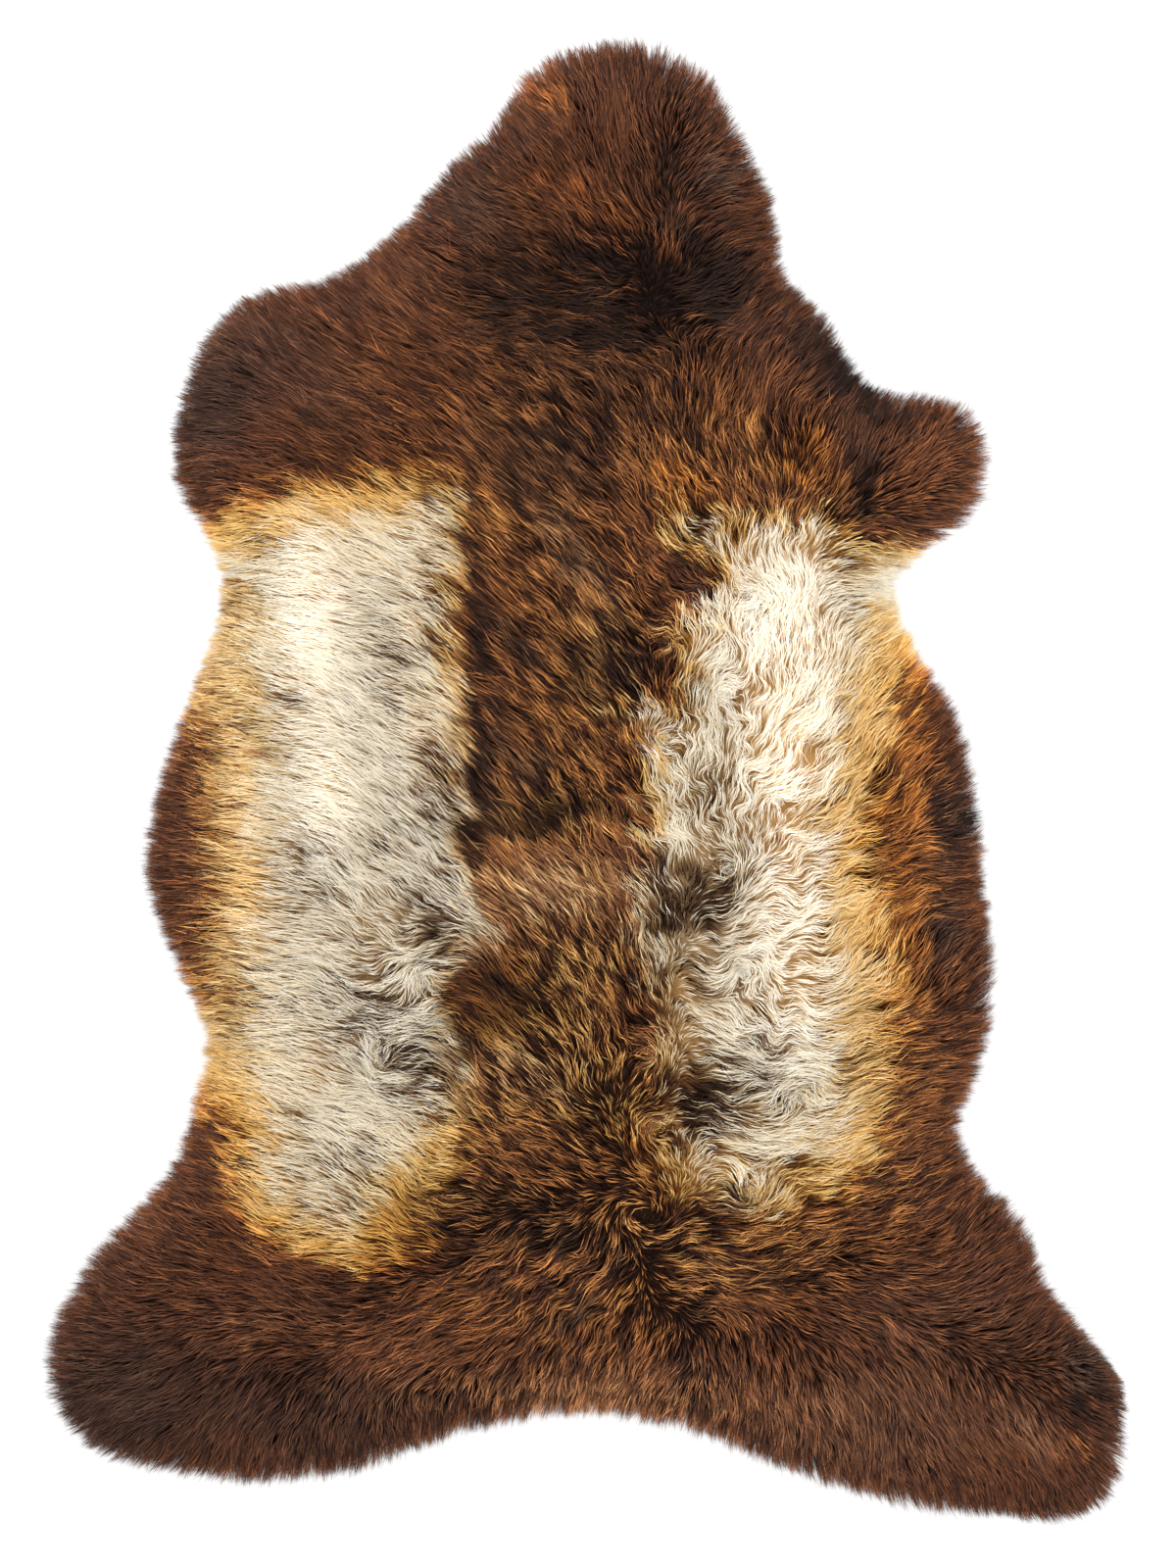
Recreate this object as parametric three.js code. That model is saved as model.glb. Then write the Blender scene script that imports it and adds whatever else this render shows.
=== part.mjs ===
// A sheepskin rug laid flat with its wool up: a tanned hide and the fleece that grows on it.
// Millimetres, +Z up, +Y towards the neck. The origin is on the floor under the middle of the rug.

import * as THREE from 'three';

// Driving sizes
const HIDE_THICKNESS = 2;
const GAP = 0.3;
const OVERHANG = 20;
const CROWN = 40;
const SHOULDER_WIDTH = 80;
const SHOULDER_POWER = 2.2;

// Locks round the rim: how many, and their lengths and heights as shares of the overhang and the wool there
const LOCK_COUNT = 280;
const LOCK_VALLEY = { least: 0.66, most: 0.88 };
const LOCK_RIDGE = 0.5;
const LOCK_SADDLE = { inset: 0.94, height: 0.62 };
const LOCK_SPREAD = 0.22;
const TIP_REACH_JITTER = 2.5;
const TIP_LEAN_JITTER = 3;

// Mesh of the top: the first row inside the rim locks, and the pitch of the points further in
const FIRST_ROW = 1.45;
const TOP_PITCH = 15;
const TOP_JITTER = 3;

// Where the tips of the wool reach, as a hide is measured, from the neck down to the hind legs.
// Columns: place, leftX, leftY, rightX, rightY.
const LANDMARKS = [
  ['neck corner', -36, 494, 80, 491],
  ['upper neck', -60, 461, 113, 443],
  ['middle of the neck', -90, 433, 131, 399],
  ['base of the neck', -136, 380, 138, 354],
  ['shoulder', -178, 351, 166, 324],
  ['front of the foreleg', -229, 340, 199, 274],
  ['upper edge of the foreleg', -253, 324, 236, 269],
  ['corner of the foreleg', -272, 296, 266, 262],
  ['end of the foreleg', -288, 236, 280, 222],
  ['heel of the foreleg', -283, 200, 268, 187],
  ['back of the foreleg', -264, 172, 236, 161],
  ['armpit', -253, 137, 213, 139],
  ['front ribs', -261, 99, 226, 98],
  ['ribs', -287, 30, 259, 42],
  ['front of the belly', -304, -30, 274, -24],
  ['belly', -305, -72, 278, -80],
  ['back of the belly', -282, -133, 283, -139],
  ['flank', -263, -175, 276, -190],
  ['groin', -270, -212, 259, -240],
  ['thigh', -286, -264, 270, -270],
  ['back of the thigh', -341, -327, 303, -302],
  ['hock', -372, -382, 318, -341],
  ['upper edge of the hind leg', -369, -434, 333, -374],
  ['corner of the hind leg', -338, -465, 365, -402],
  ['end of the hind leg', -283, -480, 375, -450],
  ['lower corner of the hind leg', -215, -485, 364, -496],
  ['lower edge of the hind leg', -155, -476, 333, -515],
  ['edge of the rump', -80, -450, 237, -505],
].map(([place, leftX, leftY, rightX, rightY]) => ({ place, left: [leftX, leftY], right: [rightX, rightY] }));

// The two ends of the outline, between the last landmarks of the left and the right side. Columns: x, y.
const NECK_END = [[55, 503], [28, 513], [-4, 511]];
const RUMP_END = [[1, -438], [69, -450], [140, -478]];

// The wool is shorn close where the upper corner of the right hind leg was trimmed
const SHORN_EDGE = { x: 352, y: -398, near: 22, far: 62, least: 0.3 };

// Where the fleece stands higher or lower than elsewhere. Columns: place, x, y, reach, rise.
const RISES = [
  ['left foreleg', -235, 255, 75, -7],
  ['right foreleg', 240, 215, 60, -8],
  ['neck end', 20, 470, 75, -6],
  ['left hind leg', -310, -410, 100, -9],
  ['right hind leg', 300, -440, 95, -10],
  ['left shoulder', -120, 230, 60, 3],
  ['curls of the right side', 110, 30, 80, 4],
  ['curls of the right loin', 105, -200, 65, 4],
  ['left side', -170, -80, 120, 2],
  ['hollow behind the right foreleg', 192, 193, 26, -8],
  ['pocket of the right hind leg', 335, -436, 24, -6],
  ['whorl of the rump', 90, -297, 28, -6],
  ['whorl of the left loin', -130, -137, 24, -5],
  ['whorl of the right shoulder', 50, 173, 28, -5],
].map(([place, x, y, reach, rise]) => ({ place, x, y, reach, rise }));

// Lines where the wool parts. Columns: place, x0, y0, x1, y1, width, depth.
const PARTINGS = [
  ['left border of the back', -86, 200, -92, -190, 20, 5],
  ['band across the neck', -70, 352, 80, 338, 26, 6],
  ['right edge of the neck', 150, 315, 196, 268, 22, 6],
  ['parting of the neck', 62, 440, 70, 385, 20, 5],
  ['right border of the back', 52, 160, 45, -240, 24, 4],
  ['upper band across the back', -80, -34, 40, -30, 20, 4],
  ['lower band across the back', -95, -176, 20, -180, 22, 5],
  ['parting of the rump', 70, -300, 120, -375, 24, 4],
].map(([place, x0, y0, x1, y1, width, depth]) => ({ place, x0, y0, x1, y1, width, depth }));

// Long waves that make the fleece lumpy. Columns: heading in degrees, wavelength, height.
const LUMPS = [
  [20, 61, 1.5],
  [75, 83, 1.3],
  [140, 47, 1.1],
  [110, 131, 1.6],
].map(([heading, wavelength, height]) => ({ heading, wavelength, height }));

// A number from 0 to 1 that is always the same for the same seed
function scatter(seed) {
  const value = Math.sin(seed * 12.9898 + 4.1414) * 43758.5453;
  return value - Math.floor(value);
}

const between = (least, most, share) => least + (most - least) * share;

function makeRim() {
  const left = LANDMARKS.map((row) => row.left);
  const right = LANDMARKS.map((row) => row.right).reverse();
  const corners = [...NECK_END, ...left, ...RUMP_END, ...right];
  const rim = new THREE.CatmullRomCurve3(corners.map(([x, y]) => new THREE.Vector3(x, y, 0)), true, 'centripetal');
  rim.arcLengthDivisions = 1600;
  return rim;
}

const RIM = makeRim();
const RIM_SAMPLES = RIM.getSpacedPoints(900);

// How much of the full overhang the wool has at a place: all of it, but for the shorn edge
function woolShare(x, y) {
  const distance = Math.hypot(x - SHORN_EDGE.x, y - SHORN_EDGE.y);
  return between(SHORN_EDGE.least, 1, THREE.MathUtils.smoothstep(distance, SHORN_EDGE.near, SHORN_EDGE.far));
}

// A place on the rim at a share of the way round, with the ways out and along
function rimPlace(share) {
  const turn = share - Math.floor(share);
  const point = RIM.getPointAt(turn);
  const along = RIM.getTangentAt(turn);
  const out = new THREE.Vector3(along.y, -along.x, 0);
  return { point, along, out, wool: woolShare(point.x, point.y) };
}

// The point that lies inside the rim by a share of the overhang there
function insetPoint(place, overhangs, height, extra = 0) {
  const point = place.point.clone().addScaledVector(place.out, extra - overhangs * OVERHANG * place.wool);
  point.z = height;
  return point;
}

function distanceToRim(x, y) {
  let nearest = Infinity;
  for (const sample of RIM_SAMPLES) {
    nearest = Math.min(nearest, Math.hypot(sample.x - x, sample.y - y));
  }
  return nearest;
}

function distanceToLine(x, y, line) {
  const run = [line.x1 - line.x0, line.y1 - line.y0];
  const share = ((x - line.x0) * run[0] + (y - line.y0) * run[1]) / (run[0] ** 2 + run[1] ** 2);
  const held = THREE.MathUtils.clamp(share, 0, 1);
  return Math.hypot(x - line.x0 - held * run[0], y - line.y0 - held * run[1]);
}

const bell = (distance, reach) => Math.exp(-((distance / reach) ** 2));

// Height of the fleece's top above the floor
function woolHeight(x, y) {
  const edge = Math.min(distanceToRim(x, y) / woolShare(x, y) / SHOULDER_WIDTH, 1);
  const shoulder = 1 - (1 - edge) ** SHOULDER_POWER;
  let height = CROWN;
  for (const rise of RISES) {
    height += rise.rise * bell(Math.hypot(x - rise.x, y - rise.y), rise.reach);
  }
  for (const parting of PARTINGS) {
    height -= parting.depth * bell(distanceToLine(x, y, parting), parting.width);
  }
  for (const lump of LUMPS) {
    const heading = THREE.MathUtils.degToRad(lump.heading);
    const way = x * Math.cos(heading) + y * Math.sin(heading);
    height += lump.height * Math.sin((way / lump.wavelength) * 2 * Math.PI);
  }
  return height * shoulder * between(1, woolShare(x, y), 0.6);
}

// Stations round the rim: a valley between two locks, then the middle of a lock
function makeStations() {
  const stations = [];
  for (let lock = 0; lock < LOCK_COUNT; lock += 1) {
    const shift = (scatter(lock) - 0.5) * LOCK_SPREAD;
    const nextShift = (scatter((lock + 1) % LOCK_COUNT) - 0.5) * LOCK_SPREAD;
    stations.push({
      lock,
      valley: rimPlace((lock + shift) / LOCK_COUNT),
      middle: rimPlace((lock + 0.5 + (shift + nextShift) / 2) / LOCK_COUNT),
    });
  }
  return stations;
}

const STATIONS = makeStations();

function lockTip({ lock, middle }) {
  const reach = (scatter(lock + 400) * 2 - 1) * TIP_REACH_JITTER * middle.wool;
  const lean = (scatter(lock + 900) * 2 - 1) * TIP_LEAN_JITTER * middle.wool;
  return insetPoint(middle, 0, 0, reach).addScaledVector(middle.along, lean);
}

function lockRidge({ middle }) {
  const ridge = insetPoint(middle, LOCK_RIDGE, 0);
  ridge.z = woolHeight(ridge.x, ridge.y);
  return ridge;
}

function lockValley({ lock, valley }) {
  return insetPoint(valley, between(LOCK_VALLEY.least, LOCK_VALLEY.most, scatter(lock + 1500)), 0);
}

function lockSaddle({ valley }) {
  const saddle = insetPoint(valley, LOCK_SADDLE.inset, 0);
  saddle.z = woolHeight(saddle.x, saddle.y) * LOCK_SADDLE.height;
  return saddle;
}

function isInside(x, y, ring) {
  let inside = false;
  for (let i = 0, j = ring.length - 1; i < ring.length; j = i, i += 1) {
    const a = ring[i];
    const b = ring[j];
    if (a.y > y !== b.y > y && x < ((b.x - a.x) * (y - a.y)) / (b.y - a.y) + a.x) {
      inside = !inside;
    }
  }
  return inside;
}

// Points of the top inside the rim locks: one row that follows the rim, then a loose grid
function topPoints(ring) {
  const points = [];
  for (const { middle } of STATIONS) {
    const row = insetPoint(middle, FIRST_ROW, 0);
    if (distanceToRim(row.x, row.y) > FIRST_ROW * OVERHANG * middle.wool * 0.93) {
      points.push(row);
    }
  }
  const rowPitch = TOP_PITCH * Math.sqrt(3) / 2;
  const box = new THREE.Box3().setFromPoints(ring);
  let seed = 0;
  for (let row = 0; box.min.y + row * rowPitch < box.max.y; row += 1) {
    for (let column = 0; box.min.x + column * TOP_PITCH < box.max.x; column += 1) {
      seed += 1;
      const x = box.min.x + (column + (row % 2) / 2) * TOP_PITCH + (scatter(seed) - 0.5) * TOP_JITTER;
      const y = box.min.y + row * rowPitch + (scatter(seed + 0.5) - 0.5) * TOP_JITTER;
      const clear = FIRST_ROW * OVERHANG * woolShare(x, y) + TOP_PITCH * 0.6;
      if (isInside(x, y, ring) && distanceToRim(x, y) > clear) {
        points.push(new THREE.Vector3(x, y, 0));
      }
    }
  }
  for (const point of points) {
    point.z = woolHeight(point.x, point.y);
  }
  return points;
}

// The circle through three points of the plan
function circleThrough(a, b, c) {
  const turn = 2 * ((b.x - a.x) * (c.y - a.y) - (b.y - a.y) * (c.x - a.x));
  const ab = (b.x - a.x) ** 2 + (b.y - a.y) ** 2;
  const ac = (c.x - a.x) ** 2 + (c.y - a.y) ** 2;
  const x = ((c.y - a.y) * ab - (b.y - a.y) * ac) / turn;
  const y = ((b.x - a.x) * ac - (c.x - a.x) * ab) / turn;
  return { x: a.x + x, y: a.y + y, square: x * x + y * y };
}

// Delaunay triangles of points seen from above, each counter-clockwise
function triangulate(points) {
  const far = 1e5;
  const all = [...points, { x: -far, y: -far }, { x: far, y: -far }, { x: 0, y: far }];
  const triangle = (a, b, c) => ({ corners: [a, b, c], circle: circleThrough(all[a], all[b], all[c]) });
  let triangles = [triangle(points.length, points.length + 1, points.length + 2)];
  points.forEach((point, index) => {
    const edges = new Map();
    const kept = [];
    for (const old of triangles) {
      const { x, y, square } = old.circle;
      if ((point.x - x) ** 2 + (point.y - y) ** 2 >= square) {
        kept.push(old);
        continue;
      }
      for (let side = 0; side < 3; side += 1) {
        const from = old.corners[side];
        const to = old.corners[(side + 1) % 3];
        if (!edges.delete(`${to},${from}`)) {
          edges.set(`${from},${to}`, [from, to]);
        }
      }
    }
    for (const [from, to] of edges.values()) {
      kept.push(triangle(from, to, index));
    }
    triangles = kept;
  });
  return triangles.map(({ corners }) => corners).filter((corners) => Math.max(...corners) < points.length);
}

// A closed body gathered from rings and faces
class Body {
  constructor() {
    this.points = [];
    this.faces = [];
  }

  add(points) {
    const first = this.points.length;
    this.points.push(...points);
    return points.map((_, index) => first + index);
  }

  // A band of faces between two rings of the same length, facing out where the second is the higher one
  band(lower, upper) {
    lower.forEach((from, index) => {
      const next = (index + 1) % lower.length;
      this.faces.push([from, lower[next], upper[next]], [from, upper[next], upper[index]]);
    });
  }

  // A flat cap on a ring, facing up or down
  cap(ring, facesUp) {
    const contour = ring.map((index) => new THREE.Vector2(this.points[index].x, this.points[index].y));
    for (const [a, b, c] of THREE.ShapeUtils.triangulateShape(contour, [])) {
      this.faces.push(facesUp ? [ring[a], ring[b], ring[c]] : [ring[a], ring[c], ring[b]]);
    }
  }

  geometry() {
    const geometry = new THREE.BufferGeometry();
    geometry.setAttribute('position', new THREE.Float32BufferAttribute(this.points.flatMap((p) => [p.x, p.y, p.z]), 3));
    geometry.setIndex(this.faces.flat());
    geometry.computeVertexNormals();
    return geometry;
  }
}

// The hide: a flat sheet whose edge stays inside the tips of the wool
function makeHide() {
  const body = new Body();
  const edge = (height) => body.add(STATIONS.map(({ valley }) => insetPoint(valley, 1, height)));
  const bottom = edge(0);
  const top = edge(HIDE_THICKNESS);
  body.band(bottom, top);
  body.cap(top, true);
  body.cap(bottom, false);
  const leather = new THREE.MeshStandardMaterial({ color: 0xcdb898, roughness: 0.9, metalness: 0 });
  const hide = new THREE.Mesh(body.geometry(), leather);
  hide.name = 'hide';
  return hide;
}

// The fleece: a lumpy slab over the hide, with locks that droop to the floor all round it
function makeFleece() {
  const body = new Body();
  const low = STATIONS.flatMap((station) => [lockValley(station), lockTip(station)]);
  const high = STATIONS.flatMap((station) => [lockSaddle(station), lockRidge(station)]);
  const lowRing = body.add(low);
  const highRing = body.add(high);
  body.band(lowRing, highRing);

  const inner = body.add(topPoints(high));
  const topIndex = [...highRing, ...inner];
  for (const [a, b, c] of triangulate(topIndex.map((index) => body.points[index]))) {
    const corners = [a, b, c].map((corner) => body.points[topIndex[corner]]);
    const x = (corners[0].x + corners[1].x + corners[2].x) / 3;
    const y = (corners[0].y + corners[1].y + corners[2].y) / 3;
    if (isInside(x, y, high)) {
      body.faces.push([topIndex[a], topIndex[b], topIndex[c]]);
    }
  }

  const recess = (height) => body.add(STATIONS.map(({ valley }) => insetPoint(valley, 1, height, GAP)));
  const recessMouth = recess(0);
  const recessFloor = recess(HIDE_THICKNESS + GAP);
  STATIONS.forEach((_, index) => {
    const next = (index + 1) % STATIONS.length;
    const valley = lowRing[index * 2];
    const tip = lowRing[index * 2 + 1];
    const nextValley = lowRing[next * 2];
    body.faces.push([valley, recessMouth[index], tip]);
    body.faces.push([tip, recessMouth[index], recessMouth[next]]);
    body.faces.push([tip, recessMouth[next], nextValley]);
  });
  body.band(recessFloor, recessMouth);
  body.cap(recessFloor, false);

  const wool = new THREE.MeshStandardMaterial({ color: 0x6b4a38, roughness: 0.95, metalness: 0 });
  const fleece = new THREE.Mesh(body.geometry(), wool);
  fleece.name = 'fleece';
  return fleece;
}

const sheepskin = new THREE.Group();
sheepskin.add(makeHide(), makeFleece());

export default sheepskin;
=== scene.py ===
"""Dresses the sheepskin rug: a suede pelt, the dense wool under the locks, and the fleece lock by lock.

Tables are plans in millimetres, +X to the right and +Y to the neck, as in the frame. A heading is the way
that the tips of the wool point, in degrees: 0 is to the right and 90 is to the neck."""

import math

import bmesh
import bpy
import numpy as np
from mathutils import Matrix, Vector
from mathutils.bvhtree import BVHTree
from mathutils.kdtree import KDTree


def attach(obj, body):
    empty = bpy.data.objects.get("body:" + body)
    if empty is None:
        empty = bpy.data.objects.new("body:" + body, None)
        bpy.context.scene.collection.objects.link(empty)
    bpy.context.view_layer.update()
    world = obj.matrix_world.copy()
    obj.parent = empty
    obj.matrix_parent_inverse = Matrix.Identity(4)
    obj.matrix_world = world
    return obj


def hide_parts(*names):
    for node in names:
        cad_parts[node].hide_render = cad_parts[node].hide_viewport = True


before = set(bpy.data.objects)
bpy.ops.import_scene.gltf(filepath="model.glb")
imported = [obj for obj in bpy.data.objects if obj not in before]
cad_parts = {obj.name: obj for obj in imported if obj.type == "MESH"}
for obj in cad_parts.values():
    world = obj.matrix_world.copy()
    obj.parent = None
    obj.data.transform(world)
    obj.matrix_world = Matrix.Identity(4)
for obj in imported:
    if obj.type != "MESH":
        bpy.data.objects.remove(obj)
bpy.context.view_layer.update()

MM = 0.001
SEED = 20
TURN = 2 * math.pi
TINY = 1e-9

# How near corners of the frame are merged, how far down the lower face of the hide looks at least, and the
# height in metres from which heights are measured
MERGE_DISTANCE = 0.01 * MM
FACES_DOWN = -0.9
ABOVE_ALL = 1

# The numbers that each corner of the wool holds for its colour; the dark number holds darker hair together
# with painted shade, and below 0 a painted highlight
WOOL_NUMBERS = ("Pale", "Gold", "Dark_and_shade", "Along", "Chance")

# How many points are measured at once against an outline and against the table of the lay
POINTS_PER_OUTLINE = 8000
POINTS_PER_LAY = 20000

# The camera looks straight down on the rug
VIEW_HEIGHT = 1088 * MM
VIEW_CENTRE = (1.4 * MM, -1.0 * MM)
LENS = 85
SENSOR = 36

# The studio, in metres and watts. Columns: name, place, size, power.
LIGHTS = [
    ("key light", (-1.3, 1.5, 2.6), 1.6, 62),
    ("fill light", (1.6, -1, 2.4), 2.4, 26),
]
SURROUND = 0.62
FLOOR_SIZE = 9
FLOOR_GAP = 0.4 * MM
FLOOR_COLOUR = (0.93, 0.93, 0.93, 1)
WHITE = (1, 1, 1, 1)

# The cut edge of the pelt: its rounding in mm, and the angles in degrees that count as sharp and as smooth
PELT_EDGE_ROUND = 0.6
SHARP_ANGLE = 60
SMOOTH_ANGLE = 50

# The dense wool under the locks, in mm: it starts at its base, has a share of the fleece's height, and is
# drawn in from the rim. Its paleness and its place along a strand are shares, both kept low to paint it
# darker as the shade between the locks. Its numbers are its chance, ripple, fleck and tuft, and a fleck
# number of 1 leaves the flecks out.
UNDERWOOL_BASE = 2.4
UNDERWOOL_SHARE = 0.52
UNDERWOOL_INSET = 3
UNDERWOOL_SOFT_RIM = 34
UNDERWOOL_MARGIN = 4
UNDERWOOL_PALENESS = 0.8
UNDERWOOL_ALONG = 0.05
UNDERWOOL_NUMBERS = (0.5, 0, 1, 0.5)

# Where locks and strands stand, in mm. A jitter is a share of the pitch, and so is the step between rows.
LOCK_PITCH = 5.6
LOCK_JITTER = 0.36
LOCKS_PAST_RIM = 2
ROW_STEP = math.sqrt(0.75)
STRAND_PITCH = 1.98
STRAND_JITTER = 0.45
RIM_STRAND_PITCH = 1.7
RIM_BAND = 12
ROOTS_INSIDE = 1
RIM_ROOTS_INSIDE = 0.5

# The chart of the floor plan, in mm. A place on its last line is read just short of it, in grid steps.
CHART_PITCH = 3
CHART_HALF = (405, 540)
CHART_LAST = 1.001

# Locks. The more they sway the fewer they are, and their turn and curl in radians are start + rate * sway.
CURLY = (0.2, 0.7)
CURLY_LOCKS_FEWER = 0.45
LOCK_TURN = (0.05, 0.08)
LOCK_CURL = (0.06, 0.35)
LOCK_RUNS = (0.86, 1.1)
LOCK_CROWN = 0.06

# What a lock's own numbers are made of: the steps of its fleck number from lock to lock, the wave lengths
# of tufts and clouds in mm, and their shares of its tuft number and its ripple
EVEN_STEPS = (0.7549, 0.5698)
TUFT_WAVES = (13, 30)
CLOUD_WAVES = (40, 120)
TUFT_RIPPLE = 0.22
RIPPLE_BY_CHANCE = 0.5
RIPPLE_BY_TUFT = 0.5
RIPPLE_BY_CLOUD = 0.25

# Strands: width and length in mm, turns in radians, the rest as shares
STRAND_WIDTH = (0.5, 1.0)
TAPER = 0.6
STRAND_RUNS = (0.72, 1.0)
LONGEST_RUN = 62
STRAND_TURN = 0.07
STRAND_TWIST = 0.15
STRAND_ROLL = 0.65
CLUMP_SPREAD = 0.2
CLUMP_MOST = 0.9

# Stray strands keep to their lock less
STRAY_SHARE = 0.1
STRAY_TURN = 0.24
STRAY_CLUMP = 0.1
STRAY_WIDTH = 0.7

# How a strand rises from its root in mm, as shares of the fleece's height and powers of the way along it
ROOT_HEIGHT = 2.6
LOWEST_STRAND = 0.6
LOWEST_SPREAD = 0.8
LEVEL = 0.94
LOCK_LEVEL_SPREAD = 0.03
STRAND_LEVEL_SPREAD = 0.035
RISE_POWER = 2.5
STRIDE_POWER = 1.15
GATHER_POWER = 1.4
TIP_DROOP = 0.8
DROOP_POWER = 5

# A strand's numbers for its colour: its chance, its fleck and its tuft, and how much of each is its lock's
USUAL_CHANCE = 0.4
CHANCE_SHAPE = (1.6, 2.4)
CHANCE_RIPPLE = 0.16
CONTRAST = (0.3, 1.4)
FLECK_BY_LOCK = 0.6
FLECK_BY_CHANCE = 0.14
FLECK_BY_PLACE = 0.62
TUFT_BY_LOCK = 0.5
TUFT_BY_CHANCE = 0.5
TUFT_BY_PLACE = 0.12

# A strand's cell on the map of its piece: how much taller than wide it is, where the strand's sides, its tip
# and its root lie in it, and how long the strand is in it
CELL_HEIGHT = 4
MAP_SIDES = (0.25, 0.75)
MAP_TIP = 0.5
MAP_ROOT = 0.05
MAP_RUN = 0.9

# The fringe: how far it hangs past the hide in mm, how ragged it is, and how its strands are fitted to that
OVERHANG = 20
RAGGED = (0.98, 0.15, 0.1)
RAGGED_LIMITS = (0.5, 1.25)
NEAR_RIM = 60
FIT_ROUNDS = 2
FIT_SEGMENTS = 4
FIT_LIMITS = (0.2, 2)
LEAST_REACH = 4
RIM_PULL = 0.4
RIM_PULL_DEPTH = 26

# How the lay wanders: the slow drift in degrees and the crimp that bends it, with their wave lengths in mm
DRIFT = 6
DRIFT_WAVES = (50, 120)
CRIMP_TRAINS = 12
CRIMP_WAVES = (21, 29)
CRIMP_DRIFT = 2.4
CRIMP_DRIFT_WAVES = (45, 110)
PARTING_SHORTENS = 0.6

# Where the fringe is longer or shorter, most of all where the right hind leg was shorn close.
# Columns: x, y, reach, change as a share of the overhang.
RIM_CHANGES = [
    (-42, 488, 30, 0.3), (64, 488, 30, 0.42), (376, -446, 26, 0.3), (352, -398, 42, -0.75),
    (285, -500, 44, -0.3), (234, 268, 20, -0.25), (188, 290, 15, 0.35),
]

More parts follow.
